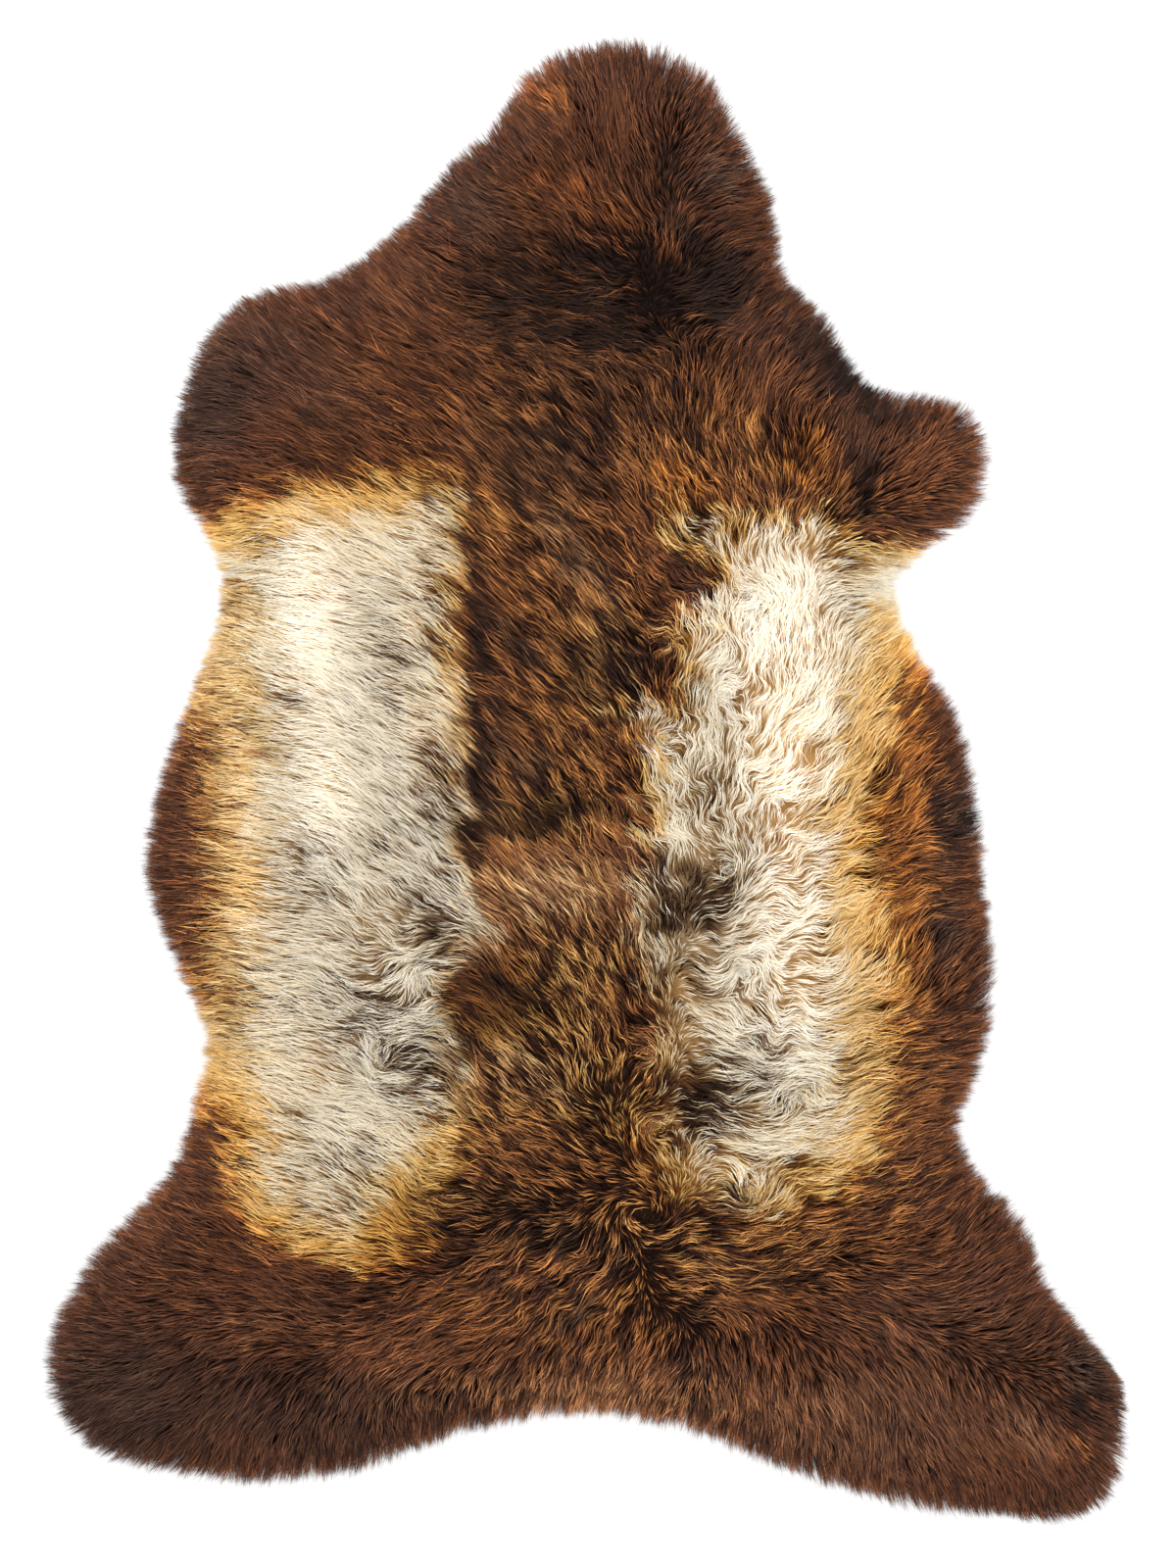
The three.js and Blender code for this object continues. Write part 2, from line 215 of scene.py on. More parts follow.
# How the wool lies. Columns: x, y, heading, run of a lock, sway from side to side in degrees,
# how tightly a lock gathers.
LAY = [
    # neck
    (0, 480, 110, 38, 5, 0.22), (25, 490, 100, 38, 5, 0.22), (-40, 440, 130, 40, 5, 0.22),
    (-10, 430, 118, 40, 6, 0.22), (25, 430, 105, 40, 6, 0.22), (75, 480, 77, 35, 6, 0.22),
    (48, 440, 112, 38, 7, 0.3), (70, 435, 30, 33, 7, 0.3), (100, 420, 22, 33, 6, 0.2),
    (120, 370, 40, 35, 6, 0.25), (95, 380, 30, 35, 8, 0.25), (-75, 390, 145, 40, 6, 0.22),
    (-20, 385, 142, 40, 10, 0.25), (35, 390, 135, 38, 12, 0.3),
    # band across the neck
    (-60, 335, 172, 38, 12, 0.4), (-20, 330, 178, 35, 16, 0.45), (25, 340, 176, 33, 18, 0.45),
    (62, 335, 15, 31, 18, 0.45), (88, 330, 8, 33, 16, 0.4), (55, 365, 80, 33, 16, 0.4),
    (0, 302, 172, 35, 14, 0.4), (40, 300, 165, 35, 16, 0.4), (-50, 365, 160, 38, 10, 0.35),
    # shoulders and forelegs
    (-100, 400, 150, 40, 5, 0.22), (-120, 340, 147, 45, 5, 0.22), (-150, 330, 145, 45, 5, 0.22),
    (-200, 270, 150, 45, 5, 0.22), (-270, 250, 167, 38, 4, 0.2), (-240, 200, 168, 42, 4, 0.3),
    (-160, 240, 152, 47, 6, 0.4), (-90, 270, 146, 45, 7, 0.4), (-40, 270, 142, 40, 9, 0.4),
    (10, 270, 130, 38, 10, 0.4), (60, 280, 95, 38, 14, 0.4), (130, 330, 45, 38, 7, 0.25),
    (125, 230, 105, 40, 14, 0.4), (100, 270, 80, 38, 10, 0.4), (155, 290, 50, 38, 6, 0.25),
    (170, 215, 60, 40, 8, 0.35), (240, 220, 38, 35, 5, 0.2), (255, 190, 20, 33, 4, 0.2),
    (190, 150, 2, 40, 8, 0.3), (220, 165, 10, 35, 6, 0.25),
    # left side
    (-230, 130, 170, 45, 6, 0.5), (-150, 150, 160, 47, 8, 0.6), (-150, 100, 158, 47, 8, 0.6),
    (-220, 60, 170, 47, 6, 0.5), (-220, 0, 170, 47, 6, 0.5), (-270, 0, 172, 42, 5, 0.35),
    (-220, -100, 172, 47, 7, 0.5), (-280, -100, 174, 42, 5, 0.3), (-150, 30, 152, 45, 10, 0.6),
    (-150, -80, 142, 42, 14, 0.6), (-220, -200, 167, 45, 8, 0.5), (-130, -200, 158, 40, 18, 0.6),
    (-180, -150, 165, 42, 12, 0.6), (-110, -60, 140, 40, 16, 0.6), (-110, -130, 200, 33, 22, 0.6),
    (-150, -260, 150, 42, 12, 0.6), (-200, -270, 158, 42, 9, 0.5),
    # back
    (-50, 200, 142, 40, 6, 0.5), (0, 200, 132, 38, 8, 0.5), (56, 196, 122, 38, 16, 0.6),
    (-60, 120, 140, 40, 7, 0.5), (0, 120, 134, 38, 9, 0.5), (-50, 40, 138, 40, 8, 0.5),
    (10, 40, 132, 38, 12, 0.5), (-50, -20, 132, 38, 10, 0.5), (10, -20, 122, 35, 14, 0.5),
    (-50, -70, 140, 45, 6, 0.45), (10, -90, 122, 38, 14, 0.5), (-50, -130, 132, 38, 12, 0.5),
    (-50, -185, 132, 42, 7, 0.4), (10, -160, 112, 35, 16, 0.5), (-50, -250, 150, 38, 12, 0.5),
    (10, -240, 150, 35, 16, 0.5),
    # right side
    (72, 162, 150, 40, 20, 0.65), (108, 160, 110, 42, 25, 0.5), (130, 160, 90, 42, 25, 0.4),
    (95, 100, 100, 42, 32, 0.45), (140, 100, 88, 45, 22, 0.36), (180, 80, 55, 45, 12, 0.3),
    (95, 40, 80, 42, 34, 0.45), (140, 30, 60, 45, 26, 0.36), (190, 20, 48, 45, 11, 0.3),
    (230, 50, 45, 42, 8, 0.3), (220, 0, 42, 42, 9, 0.35), (70, -20, 120, 38, 32, 0.45),
    (110, -20, 70, 42, 36, 0.45), (150, -30, 30, 45, 28, 0.36), (190, -50, 15, 42, 13, 0.35),
    (245, -60, 10, 40, 8, 0.3), (150, -90, 5, 45, 30, 0.4), (200, -112, 55, 40, 15, 0.35),
    (245, -125, 55, 38, 9, 0.3), (110, -150, 330, 42, 34, 0.45), (160, -150, 0, 45, 27, 0.4),
    (170, -185, 10, 45, 20, 0.4), (250, -190, 15, 40, 8, 0.35), (80, -210, 350, 40, 28, 0.45),
    (130, -230, 5, 45, 20, 0.4), (230, -230, 28, 40, 10, 0.35), (190, -260, 20, 40, 14, 0.4),
    # rump and hind legs
    (-250, -300, 160, 42, 7, 0.4), (-200, -350, 168, 40, 7, 0.35), (-350, -390, 180, 35, 4, 0.2),
    (-350, -440, 205, 33, 4, 0.2), (-300, -430, 200, 35, 5, 0.2), (-250, -450, 238, 33, 5, 0.2),
    (-150, -450, 255, 33, 7, 0.25), (-100, -380, 200, 38, 12, 0.45), (-60, -330, 208, 38, 17, 0.5),
    (-100, -300, 158, 38, 12, 0.5), (0, -340, 215, 35, 19, 0.5), (42, -200, 100, 34, 18, 0.5),
    (45, -236, 82, 34, 18, 0.5), (0, -400, 245, 35, 13, 0.45), (50, -410, 245, 35, 13, 0.45),
    (-80, -430, 245, 33, 10, 0.35), (100, -420, 275, 35, 12, 0.4), (137, -430, 283, 35, 10, 0.35),
    (150, -470, 290, 31, 8, 0.3), (80, -335, 357, 38, 17, 0.5), (140, -300, 20, 38, 17, 0.5),
    (180, -370, 345, 40, 10, 0.4), (250, -350, 5, 38, 7, 0.35), (280, -300, 42, 35, 7, 0.3),
    (300, -330, 47, 35, 6, 0.25), (320, -370, 20, 31, 5, 0.2), (200, -450, 282, 35, 7, 0.25),
    (250, -430, 292, 35, 7, 0.25), (300, -450, 302, 33, 6, 0.25), (350, -480, 305, 31, 5, 0.2),
    (350, -420, 330, 26, 4, 0.15), (230, -490, 312, 31, 6, 0.25), (190, -400, 300, 38, 9, 0.3),
]
LAY_REACH = 16
LAY_POWER = 2.2
WHORL_PULL = 1.4
WHORL_CLOSES = 0.3
WHORL_MIDDLE = 0.01

# Curls that wind round a place. Columns: x, y, reach, turn to add to the heading beside it.
WHORLS = [
    (100, -60, 26, 1), (108, -128, 22, -1), (45, -185, 20, 1), (38, -294, 32, 1), (42, -238, 24, -1),
    (112, -282, 24, 1), (52, 30, 18, -1), (58, 98, 20, 1), (-140, -190, 20, -1), (-112, -133, 18, 1),
    (92, 60, 20, -1), (118, 128, 18, 1), (128, -10, 18, -1), (145, -210, 18, -1),
]

# Outlines of the pale patches, where brown wool ends. Columns: x, y, width of the change, how golden it is.
LEFT_PATCH = [
    (-262, 186, 34, 1), (-225, 195, 34, 1), (-200, 202, 34, 1), (-175, 208, 36, 1), (-150, 212, 36, 1),
    (-125, 215, 34, 1), (-100, 215, 28, 1), (-84, 208, 16, 1), (-84, 190, 11, 0.8), (-88, 170, 11, 0.7),
    (-88, 130, 12, 0.7), (-92, 100, 12, 0.7), (-88, 78, 12, 0.6), (-84, 50, 12, 0.5), (-83, 0, 12, 0.4),
    (-85, -50, 11, 0.5), (-76, -85, 10, 0.3), (-52, -104, 9, 0.2), (-88, -116, 10, 0.3),
    (-98, -134, 12, 0.6), (-96, -164, 12, 0.6), (-79, -200, 14, 0.6), (-86, -240, 26, 1),
    (-94, -270, 42, 1), (-98, -304, 50, 1), (-122, -326, 46, 1), (-165, -332, 34, 1), (-200, -323, 30, 1),
    (-230, -305, 32, 1), (-248, -284, 34, 1), (-250, -252, 38, 1), (-256, -232, 42, 1),
    (-275, -208, 60, 0.9), (-296, -194, 80, 0.8), (-296, -165, 80, 0.8), (-268, -150, 46, 0.8),
    (-268, -110, 44, 0.8), (-258, -75, 42, 0.8), (-263, -50, 44, 0.8), (-269, 0, 46, 0.8),
    (-266, 28, 50, 0.8), (-292, 85, 84, 0.7), (-298, 180, 84, 0.9),
]
RIGHT_PATCH = [
    (70, 197, 16, 1), (92, 190, 15, 1), (140, 189, 16, 1), (170, 183, 16, 1), (203, 167, 16, 0.9),
    (262, 162, 20, 0.5), (262, 106, 36, 0.9), (232, 92, 46, 1), (220, 60, 48, 1), (212, 30, 44, 1),
    (203, 0, 38, 1), (197, -35, 34, 1), (203, -55, 36, 1), (206, -82, 38, 1), (208, -104, 40, 1),
    (218, -125, 50, 0.7), (216, -160, 44, 0.9), (212, -205, 38, 0.9), (208, -240, 36, 1),
    (200, -260, 36, 1), (174, -284, 36, 1), (120, -298, 32, 1), (62, -290, 24, 0.9), (46, -262, 18, 1),
    (48, -215, 18, 0.8), (46, -150, 20, 0.6), (30, -112, 18, 0.4), (30, -60, 18, 0.6), (40, -12, 16, 0.9),
    (38, 28, 12, 1), (44, 54, 12, 1), (66, 62, 12, 1), (66, 84, 12, 0.9), (54, 98, 14, 1), (80, 128, 14, 1),
    (91, 148, 13, 1), (56, 162, 16, 1), (48, 188, 20, 1),
]

# Brown wool is this warm, and wool well inside a patch loses this share of its gold
BROWN_WARMTH = 0.78
GOLD_FADES = 0.45

# How far brown and pale hairs mix along a border, by a strand's own chance and by its lock
PATCH_MIXING = 0.42
LOCK_MIXING = 0.12

# How pale wool is in the amber band and in the cream beyond it
AMBER = 0.62
CREAM = 0.94

# How much paleness a fleck takes away, how dark it is and how soft its edge is. Its darkness is partly the
# fleck's own dark brown and partly painted shade in the gaps between the pale locks
FLECK_DEPTH = 0.88
FLECK_DARKNESS = 0.95
FLECK_EDGE = 0.06

# How wide the painted shade between tufts with a painted highlight is, and which tuft numbers get the
# painted highlight or the painted shade
TUFT_SPREAD = 1.4
TUFT_CHANCE = 0.4
LIT_TUFTS = (0.6, 0.95)
DARK_TUFTS = (0.28, 0.5)

# How abruptly a spot ends, and the limits of the dark number: below 0 it is a painted highlight, above 0
# darker hair and painted shade
SPOT_EDGE = 1.7
DARK_LIMITS = (-0.5, 1)

# Where each colour begins and is complete inside a patch, as shares of the width of its border
GOLD_STARTS = (-0.5, 0.15)
GOLD_ENDS = (1.2, 2.4)
AMBER_STARTS = (-0.25, 0.4)
CREAM_STARTS = (0.5, 1.15)

# How a strand's colour follows its numbers. Each pair is a start and a rate: start + rate * number.
BROWN_BY_CHANCE = (0.04, 0.17)
BLEACHED_BY_TIP = (0.6, 0.4)
# The lit pairs paint shade on a strand towards its root and a highlight on its tip, where they pass 1;
# TIP_RANGE is where along the strand this change happens
ROOT_LIT_BY_PALE = (0.02, 0.83)
TIP_LIT_BY_PALE = (1.12, -0.06)
# OPEN_BY_DARK darkens a whole strand by its dark number, for darker hair and painted shade, and brightens it
# as a painted highlight where the number is below 0
OPEN_BY_DARK = (1, -0.85)
LEAST_OWN_BY_PALE = (0.3, 0.62)
OWN_RATE_BY_PALE = (1.68, -1.5)
ROUGHNESS_BY_CHANCE = (0.5, 0.2)
TIP_RANGE = (0.2, 0.85)
# DEEP_SHADE is the colour that the painted shade, the dark number and a strand's own tone darken it towards
DEEP_SHADE = (26, 13, 8)
STRAND_GLOSS = 0.22

# How far the marks of a lock are from where the tables have them, in mm
MARK_SHIFT = 3
MARK_DRIFT = 5
MARK_DRIFT_WAVES = (14, 44)

# Grey and brown locks in the pale wool. Columns: x, y, reach along x, reach along y, share of the locks.
FLECKS = [
    (-104, 110, 26, 90, 0.66), (-138, 80, 34, 100, 0.48), (-104, -90, 38, 60, 0.66),
    (-150, -150, 60, 60, 0.56), (-112, -200, 42, 40, 0.72), (-190, -60, 40, 60, 0.46),
    (-108, 196, 30, 24, 0.52), (-245, 10, 34, 90, 0.44), (-235, -150, 40, 80, 0.45),
    (-250, 120, 36, 50, 0.44), (-165, -265, 60, 50, 0.52), (-110, -290, 34, 34, 0.62),
    (-108, 0, 32, 50, 0.7), (80, 0, 34, 28, 0.76), (66, -76, 42, 30, 1.02), (84, -215, 44, 34, 0.94),
    (70, -130, 30, 36, 0.74), (60, 60, 18, 50, 0.68), (185, 162, 40, 8, 0.48), (120, -40, 36, 50, 0.48),
    (140, -172, 50, 16, 0.52), (68, 172, 20, 24, 0.6), (150, -262, 60, 24, 0.46), (100, -286, 26, 9, 0.85),
    (126, -196, 40, 26, 0.5),
]

# Where tufts get a painted highlight over painted shade between them. Columns: x, y, reach along x, reach
# along y, how pale (painted highlight), how dark (painted shade).
TUFTS = [
    (-25, 170, 55, 70, 0.22, 1.1), (-25, 70, 55, 60, 0.16, 1.35), (20, 85, 34, 50, 0.38, 1.4),
    (-20, 10, 60, 40, 0.2, 1.3), (-34, -20, 60, 16, 0.4, 1.3), (-30, -75, 60, 28, 0.4, 0.6),
    (0, -120, 50, 26, 0.4, 1.2), (-30, -165, 60, 40, 0.44, 1.5), (10, -215, 40, 40, 0.46, 1.5),
    (-60, -220, 36, 36, 0.3, 1.2), (0, -290, 90, 40, 0.2, 1.2), (60, -320, 70, 40, 0.26, 1),
    (0, -360, 120, 30, 0.2, 0.9), (0, -420, 150, 24, 0.14, 0.5), (120, 225, 60, 36, 0.26, 0.7),
    (60, 240, 60, 50, 0.12, 0.8), (20, 330, 100, 36, 0.06, 1.3), (0, 275, 90, 40, 0.06, 1.2),
    (-60, 250, 60, 60, 0.09, 0.6), (220, 20, 30, 80, 0.18, 0.9), (230, -80, 34, 60, 0.16, 0.9),
    (225, -190, 34, 60, 0.24, 0.85), (180, 190, 50, 20, 0.16, 0.6), (-250, 30, 40, 110, 0.08, 0.6),
    (150, -320, 70, 30, 0.24, 0.85), (210, -275, 50, 30, 0.24, 0.75), (-130, 250, 60, 40, 0.06, 0.4),
    (-150, 320, 80, 50, 0.03, 0.4), (-30, 420, 60, 50, 0.03, 0.3), (260, -60, 30, 120, 0.05, 0.6),
    (-250, -130, 36, 80, 0.06, 0.6), (-80, -290, 30, 50, 0.16, 1),
]

# Places that are paler, golden or darker: the wool's own colour, with painted shade in partings and between
# tufts, painted highlights where the added dark is below 0, and a grey painted sheen at a few rows where
# gold is taken away.
# Columns: x, y, half length, half width, heading, added pale, gold, added dark (darker hair and painted
# shade).
SPOTS = [
    # neck and shoulders
    # An added dark below 0 is a painted highlight, as at (-22, 470), and the dark line at (58, 418) is
    # painted shade in a parting
    (-22, 470, 16, 9, 110, 0.1, 0.9, -0.3), (58, 418, 36, 7, 95, 0, 0.3, 0.6),
    # The row at (95, 420) takes all gold away for a grey painted sheen
    (95, 420, 20, 16, 20, 0.03, 0, 0), (75, 376, 24, 7, 150, 0, 0.3, 0.6),
    # The neck band: darker hair, with painted shade in thin lines between its tufts and painted highlight in
    # thin lines on them
    (10, 334, 104, 33, 178, -0.03, 0.5, 0.85), (-10, 365, 76, 3.4, 176, 0, 0.5, 0.5),
    (0, 354, 84, 3.4, 179, 0, 0.5, 0.7), (5, 343, 92, 3.6, 177, 0, 0.5, 0.5),
    (10, 333, 96, 3.4, 180, 0, 0.5, 0.7), (8, 324, 92, 3.6, 177, 0, 0.5, 0.5),
    (80, 346, 34, 22, 0, 0, 0.3, 0.95), (5, 307, 88, 5, 178, 0, 0.5, 0.7),
    (-5, 349, 62, 2.6, 178, 0.03, 0.9, -0.46), (12, 338, 72, 2.6, 177, 0.03, 0.9, -0.46),
    (0, 328, 68, 2.4, 180, 0.03, 0.9, -0.4), (20, 317, 60, 2.6, 178, 0.02, 0.9, -0.3),
    (-5, 286, 60, 8, 170, 0, 0.6, 0.5), (20, 262, 70, 9, 165, 0, 0.7, 0.45),
    (-30, 240, 50, 8, 160, 0, 0.7, 0.4), (-42, 492, 20, 26, 60, 0.03, 1, -0.3),
    (-80, 395, 34, 22, 130, 0, 0.3, 0.2), (0, 400, 60, 12, 150, 0.03, 1, -0.2),
    (190, 280, 40, 17, 128, -0.1, 0.2, 1), (194, 212, 30, 11, 95, -0.05, 0.3, 0.85),
    (160, 300, 34, 14, 128, 0, 0.3, 0.35), (-262, 262, 36, 44, 160, 0, 0.1, 0.25),
    (-215, 290, 60, 30, 150, 0, 0.35, 0.1), (250, 215, 36, 40, 40, 0.05, 0.75, -0.35),
    (-40, 205, 44, 5, 160, 0, 0.5, 0.5), (-20, 230, 62, 26, 170, -0.04, 0.6, 0.36),
    (-62, 222, 20, 8, 130, 0, 0.6, 0.3), (150, 228, 26, 20, 100, 0.05, 1, -0.2),
    # left side
    (-192, 110, 20, 72, 4, 0.3, 0.55, -0.3), (-182, -10, 18, 40, 0, 0.3, 0.45, -0.3),
    (-160, -80, 60, 60, 0, 0, 0.36, 0), (-140, -150, 60, 40, 0, 0, 0.34, 0),
    (-115, 87, 12, 10, 0, 0.1, 0.9, 0), (-104, 192, 22, 22, 95, -0.05, 1, 0),
    (-110, 90, 112, 25, 91, 0, 1, -0.1), (-78, 100, 100, 4, 92, -0.2, 0.5, 0.8),
    (-78, -20, 60, 4, 90, -0.2, 0.5, 0.7), (-240, -20, 14, 110, 0, 0.08, 1, -0.15),
    (-208, 57, 14, 2.6, 166, -1, 0.3, 1), (-238, 43, 9, 2.2, 168, -0.8, 0.4, 0.9),
    (-140, -37, 8, 3, 150, -1, 0.2, 1), (-138, -157, 8, 3, 150, -0.9, 0.2, 0.9),
    (-138, -188, 9, 4, 60, -0.9, 0.2, 0.9), (-205, -222, 8, 2.2, 172, -0.8, 0.2, 0.9),
    (-232, 170, 9, 2.4, 165, -0.6, 0.7, 0.9), (-240, 137, 9, 2.2, 168, -0.6, 0.7, 0.8),
    (-210, 20, 8, 2, 170, -0.7, 0.5, 0.8), (-248, -118, 8, 2.2, 172, -0.6, 0.6, 0.8),
    (-238, -232, 22, 20, 100, -0.12, 1, 0), (-128, -300, 36, 30, 110, -0.24, 1, 0.15),
    (-108, -104, 22, 8, 20, -0.4, 0.2, 0.4),
    # back
    (-34, -22, 62, 10, 14, -0.05, 0.8, 1), (-18, -68, 74, 27, 6, 0.15, 0.42, -0.32),
    (-34, -36, 58, 4, 15, 0.15, 0.7, -0.2), (-60, -155, 40, 30, 150, 0.04, 0.9, 0.3),
    (-40, -196, 34, 14, 150, 0.05, 0.5, -0.1), (15, -215, 28, 26, 120, 0.08, 0.9, 0.3),
    (-50, -142, 40, 6, 160, 0, 0.9, 0.7), (-84, -170, 24, 6, 90, -0.3, 0.7, 0.9),
    (-66, -150, 40, 22, 10, 0, 1, 0.45), (-65, 185, 14, 5, 135, 0.3, 0.9, 0),
    (-75, 155, 12, 5, 135, 0.28, 0.9, 0), (16, 54, 36, 3.2, 8, 0.4, 1, -0.2),
    (12, 74, 38, 18, 20, 0, 0.9, 0.55), (70, 114, 26, 6, 30, 0.3, 1, -0.1),
    (46, 27, 22, 3.4, 165, 0.4, 1, 0), (46, 94, 13, 10, 60, -0.3, 0.7, 0.1),
    (20, 84, 38, 22, 30, -0.05, 0.7, 0.2), (68, 118, 30, 5, 30, 0.5, 0.8, -0.3),
    (38, 57, 14, 4, 120, 0.5, 0.5, -0.3), (52, 42, 18, 4, 150, 0.5, 0.4, -0.3),
    (24, 112, 12, 5, 100, -0.1, 0.5, 0.8), (72, 138, 16, 8, 150, -0.3, 0.5, 0.6),
    (82, 181, 16, 2.6, 145, -0.8, 0.4, 0.9), (74, 167, 15, 2.6, 148, -0.8, 0.4, 1),
    (66, 153, 13, 2.6, 150, -0.8, 0.4, 1), (60, 212, 40, 10, 160, 0.1, 1, 0),
    (78, 68, 9, 5, 60, -0.5, 0.3, 0.9), (-62, 112, 16, 5, 135, 0, 0.3, 0.7),
    (-45, 92, 15, 5, 135, 0, 0.3, 0.6), (-10, 160, 50, 12, 130, 0.02, 0.4, 0.2),
    (-50, 20, 40, 8, 140, 0, 0.4, 0.5), (-76, 90, 70, 6, 92, -0.2, 0.5, 0.7),
    (-70, 0, 40, 10, 92, 0, 0.5, 0.5), (0, -60, 30, 6, 140, 0, 0.6, 0.5),
    # right side
    (136, 80, 36, 100, 0, 0.2, 0.4, -0.35), (146, -80, 26, 120, 0, 0.16, 0.45, -0.25),
    (215, -50, 24, 130, 0, 0.09, 1, -0.2), (228, 60, 26, 60, 0, 0.03, 1, -0.2),
    (208, 5, 12, 4, 45, -0.3, 0.8, 0.8), (212, -40, 11, 4, 20, -0.3, 0.8, 0.8),
    (120, -177, 14, 3, 10, -0.8, 0.3, 0.8), (185, -197, 10, 4, 10, -0.5, 0.6, 0.7),
    (237, -207, 10, 4, 20, 0, 0.5, 0.7), (105, -205, 18, 4, 0, -0.6, 0.3, 0.7),
    (84, -72, 17, 4, 160, -1, 0.2, 0.9), (68, -82, 15, 3.6, 20, -1, 0.2, 0.9),
    (90, -93, 15, 4, 150, -1, 0.2, 0.9), (66, -97, 12, 3.4, 30, -1, 0.2, 0.9),
    (46, -53, 14, 4, 150, -1, 0.2, 0.9), (36, -63, 11, 3.4, 140, -1, 0.2, 0.9),
    (52, -76, 10, 3.4, 110, -0.9, 0.2, 0.8), (100, -60, 10, 3, 60, -0.9, 0.2, 0.8),
    (76, -77, 30, 2.6, 10, 0.5, 0.3, -0.3), (62, -90, 24, 2.4, 160, 0.5, 0.3, -0.3),
    (64, -205, 15, 3.8, 170, -1, 0.3, 0.9), (84, -214, 17, 3.6, 10, -1, 0.3, 0.9),
    (101, -225, 14, 3.6, 20, -1, 0.3, 0.8), (72, -231, 15, 3.4, 170, -1, 0.3, 0.9),
    (60, -245, 12, 3.4, 160, -0.9, 0.3, 0.8), (93, -244, 12, 3, 0, -0.9, 0.3, 0.8),
    (256, -30, 14, 26, 0, -0.1, 0.2, 0.45), (252, -96, 14, 20, 0, -0.1, 0.2, 0.4),
    (183, 157, 32, 3, 170, -0.6, 0.6, 0.6), (100, -287, 28, 8, 175, -0.1, 0.35, 0.1),
    (146, -181, 16, 2.4, 8, -0.8, 0.4, 0.8), (128, -204, 14, 2.6, 5, -0.9, 0.3, 0.9),
    (158, -214, 12, 2.2, 8, -0.7, 0.5, 0.8), (78, -58, 15, 3.4, 165, -1, 0.2, 0.9),
    (52, -92, 13, 3.4, 15, -1, 0.2, 0.9), (116, -236, 12, 3, 8, -0.9, 0.3, 0.8),
    (78, -222, 12, 3.4, 175, -1, 0.2, 0.9), (112, -272, 26, 2.6, 172, 0.3, 0.9, -0.2),
    (34, -250, 46, 7, 92, 0.16, 0.9, 0), (128, -292, 16, 3, 200, 0.3, 0.6, -0.2),
    # rump and hind legs
    (-50, -300, 56, 24, 170, 0, 0.6, 0.35), (-15, -315, 14, 6, 200, 0, 0.4, 0.8),
    (20, -330, 14, 6, 200, 0, 0.4, 0.8), (-10, -368, 14, 6, 230, 0, 0.4, 0.8),
    (78, -365, 14, 6, 230, 0, 0.4, 0.8), (127, -340, 14, 5, 0, 0, 0.4, 0.8),
    (75, -405, 14, 6, 245, 0, 0.4, 0.7), (10, -425, 140, 18, 178, 0.08, 0.5, -0.25),
    # The row at (350, -402) takes all gold away for a grey painted sheen on the shorn leg
    (305, -445, 32, 16, 315, 0.05, 0.3, -0.2), (350, -402, 22, 20, 0, 0.03, 0, 0),
    (348, -432, 18, 8, 60, -0.1, 0.2, 1), (340, -460, 14, 7, 300, 0.16, 0.9, -0.2),
    # The row at (-325, -425) takes most gold away for a grey painted sheen on the leg's end
    (-325, -425, 66, 50, 20, 0, 0.15, 0.4), (-200, -430, 90, 40, 0, -0.02, 0.4, 0.25),
    (-180, -385, 90, 22, 175, 0.03, 0.7, -0.2), (200, -445, 90, 44, 0, 0.04, 0.4, -0.08),
    (-230, -370, 70, 24, 10, 0, 0.6, 0), (250, -370, 60, 40, 0, 0.02, 0.5, -0.1),
]

# How many segments a strand has. Columns: segments, least and most sway of its lock in radians.
SEGMENTS = [(3, 0, 0.3), (4, 0.3, 0.5), (6, 0.5, TURN)]
RIM_SWAY = 0.3

# Strands are numbered row by row, each row this deep in mm
ROW_OF_STRANDS = 6

# Pieces of the fleece. Columns: name, left, right, lower and upper limit of the roots.
PIECES = [
    ("neck_wool", -1000, 1000, 330, 1000),
    ("shoulder_wool", -1000, 1000, 200, 330),
    ("left_rib_wool", -1000, -85, -60, 200),
    ("left_flank_wool", -1000, -85, -300, -60),
    ("back_wool", -85, 45, -60, 200),
    ("loin_wool", -85, 45, -300, -60),
    ("right_rib_wool", 45, 1000, -60, 200),
    ("right_flank_wool", 45, 1000, -300, -60),
    ("left_hind_wool", -1000, 0, -1000, -300),
    ("right_hind_wool", 0, 1000, -1000, -300),
]


def paint(red, green, blue):
    """A colour given in everyday 0 to 255 values, as the linear colour that a shader takes."""
    shares = [value / 255 for value in (red, green, blue)]
    return tuple(s / 12.92 if s <= 0.04045 else ((s + 0.055) / 1.055) ** 2.4 for s in shares) + (1,)


def between(first, second, share):
    """What lies this share of the way from the first to the second."""
    return first * (1 - share) + second * share


def smooth_step(values, low, high):
    share = np.clip((values - low) / (high - low), 0, 1)
    return share * share * (3 - 2 * share)


def deselect_all():
    for thing in bpy.context.selected_objects:
        thing.select_set(False)


def select_only(thing):
    deselect_all()
    thing.select_set(True)
    bpy.context.view_layer.objects.active = thing


def edit(thing, work):
    """Runs work() in edit mode on one object, with all of its mesh selected."""
    select_only(thing)
    bpy.ops.object.mode_set(mode="EDIT")
    bpy.ops.mesh.select_all(action="SELECT")
    work()
    bpy.ops.object.mode_set(mode="OBJECT")


def merged_copy(node, name):
    """A copy of a CAD node with its own mesh, its doubled corners merged."""
    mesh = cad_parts[node].data.copy()
    mesh.name = name
    mesh.materials.clear()
    copy = bpy.data.objects.new(name, mesh)
    bpy.context.scene.collection.objects.link(copy)
    edit(copy, lambda: bpy.ops.mesh.remove_doubles(threshold=MERGE_DISTANCE))
    return copy


# Measuring the frame

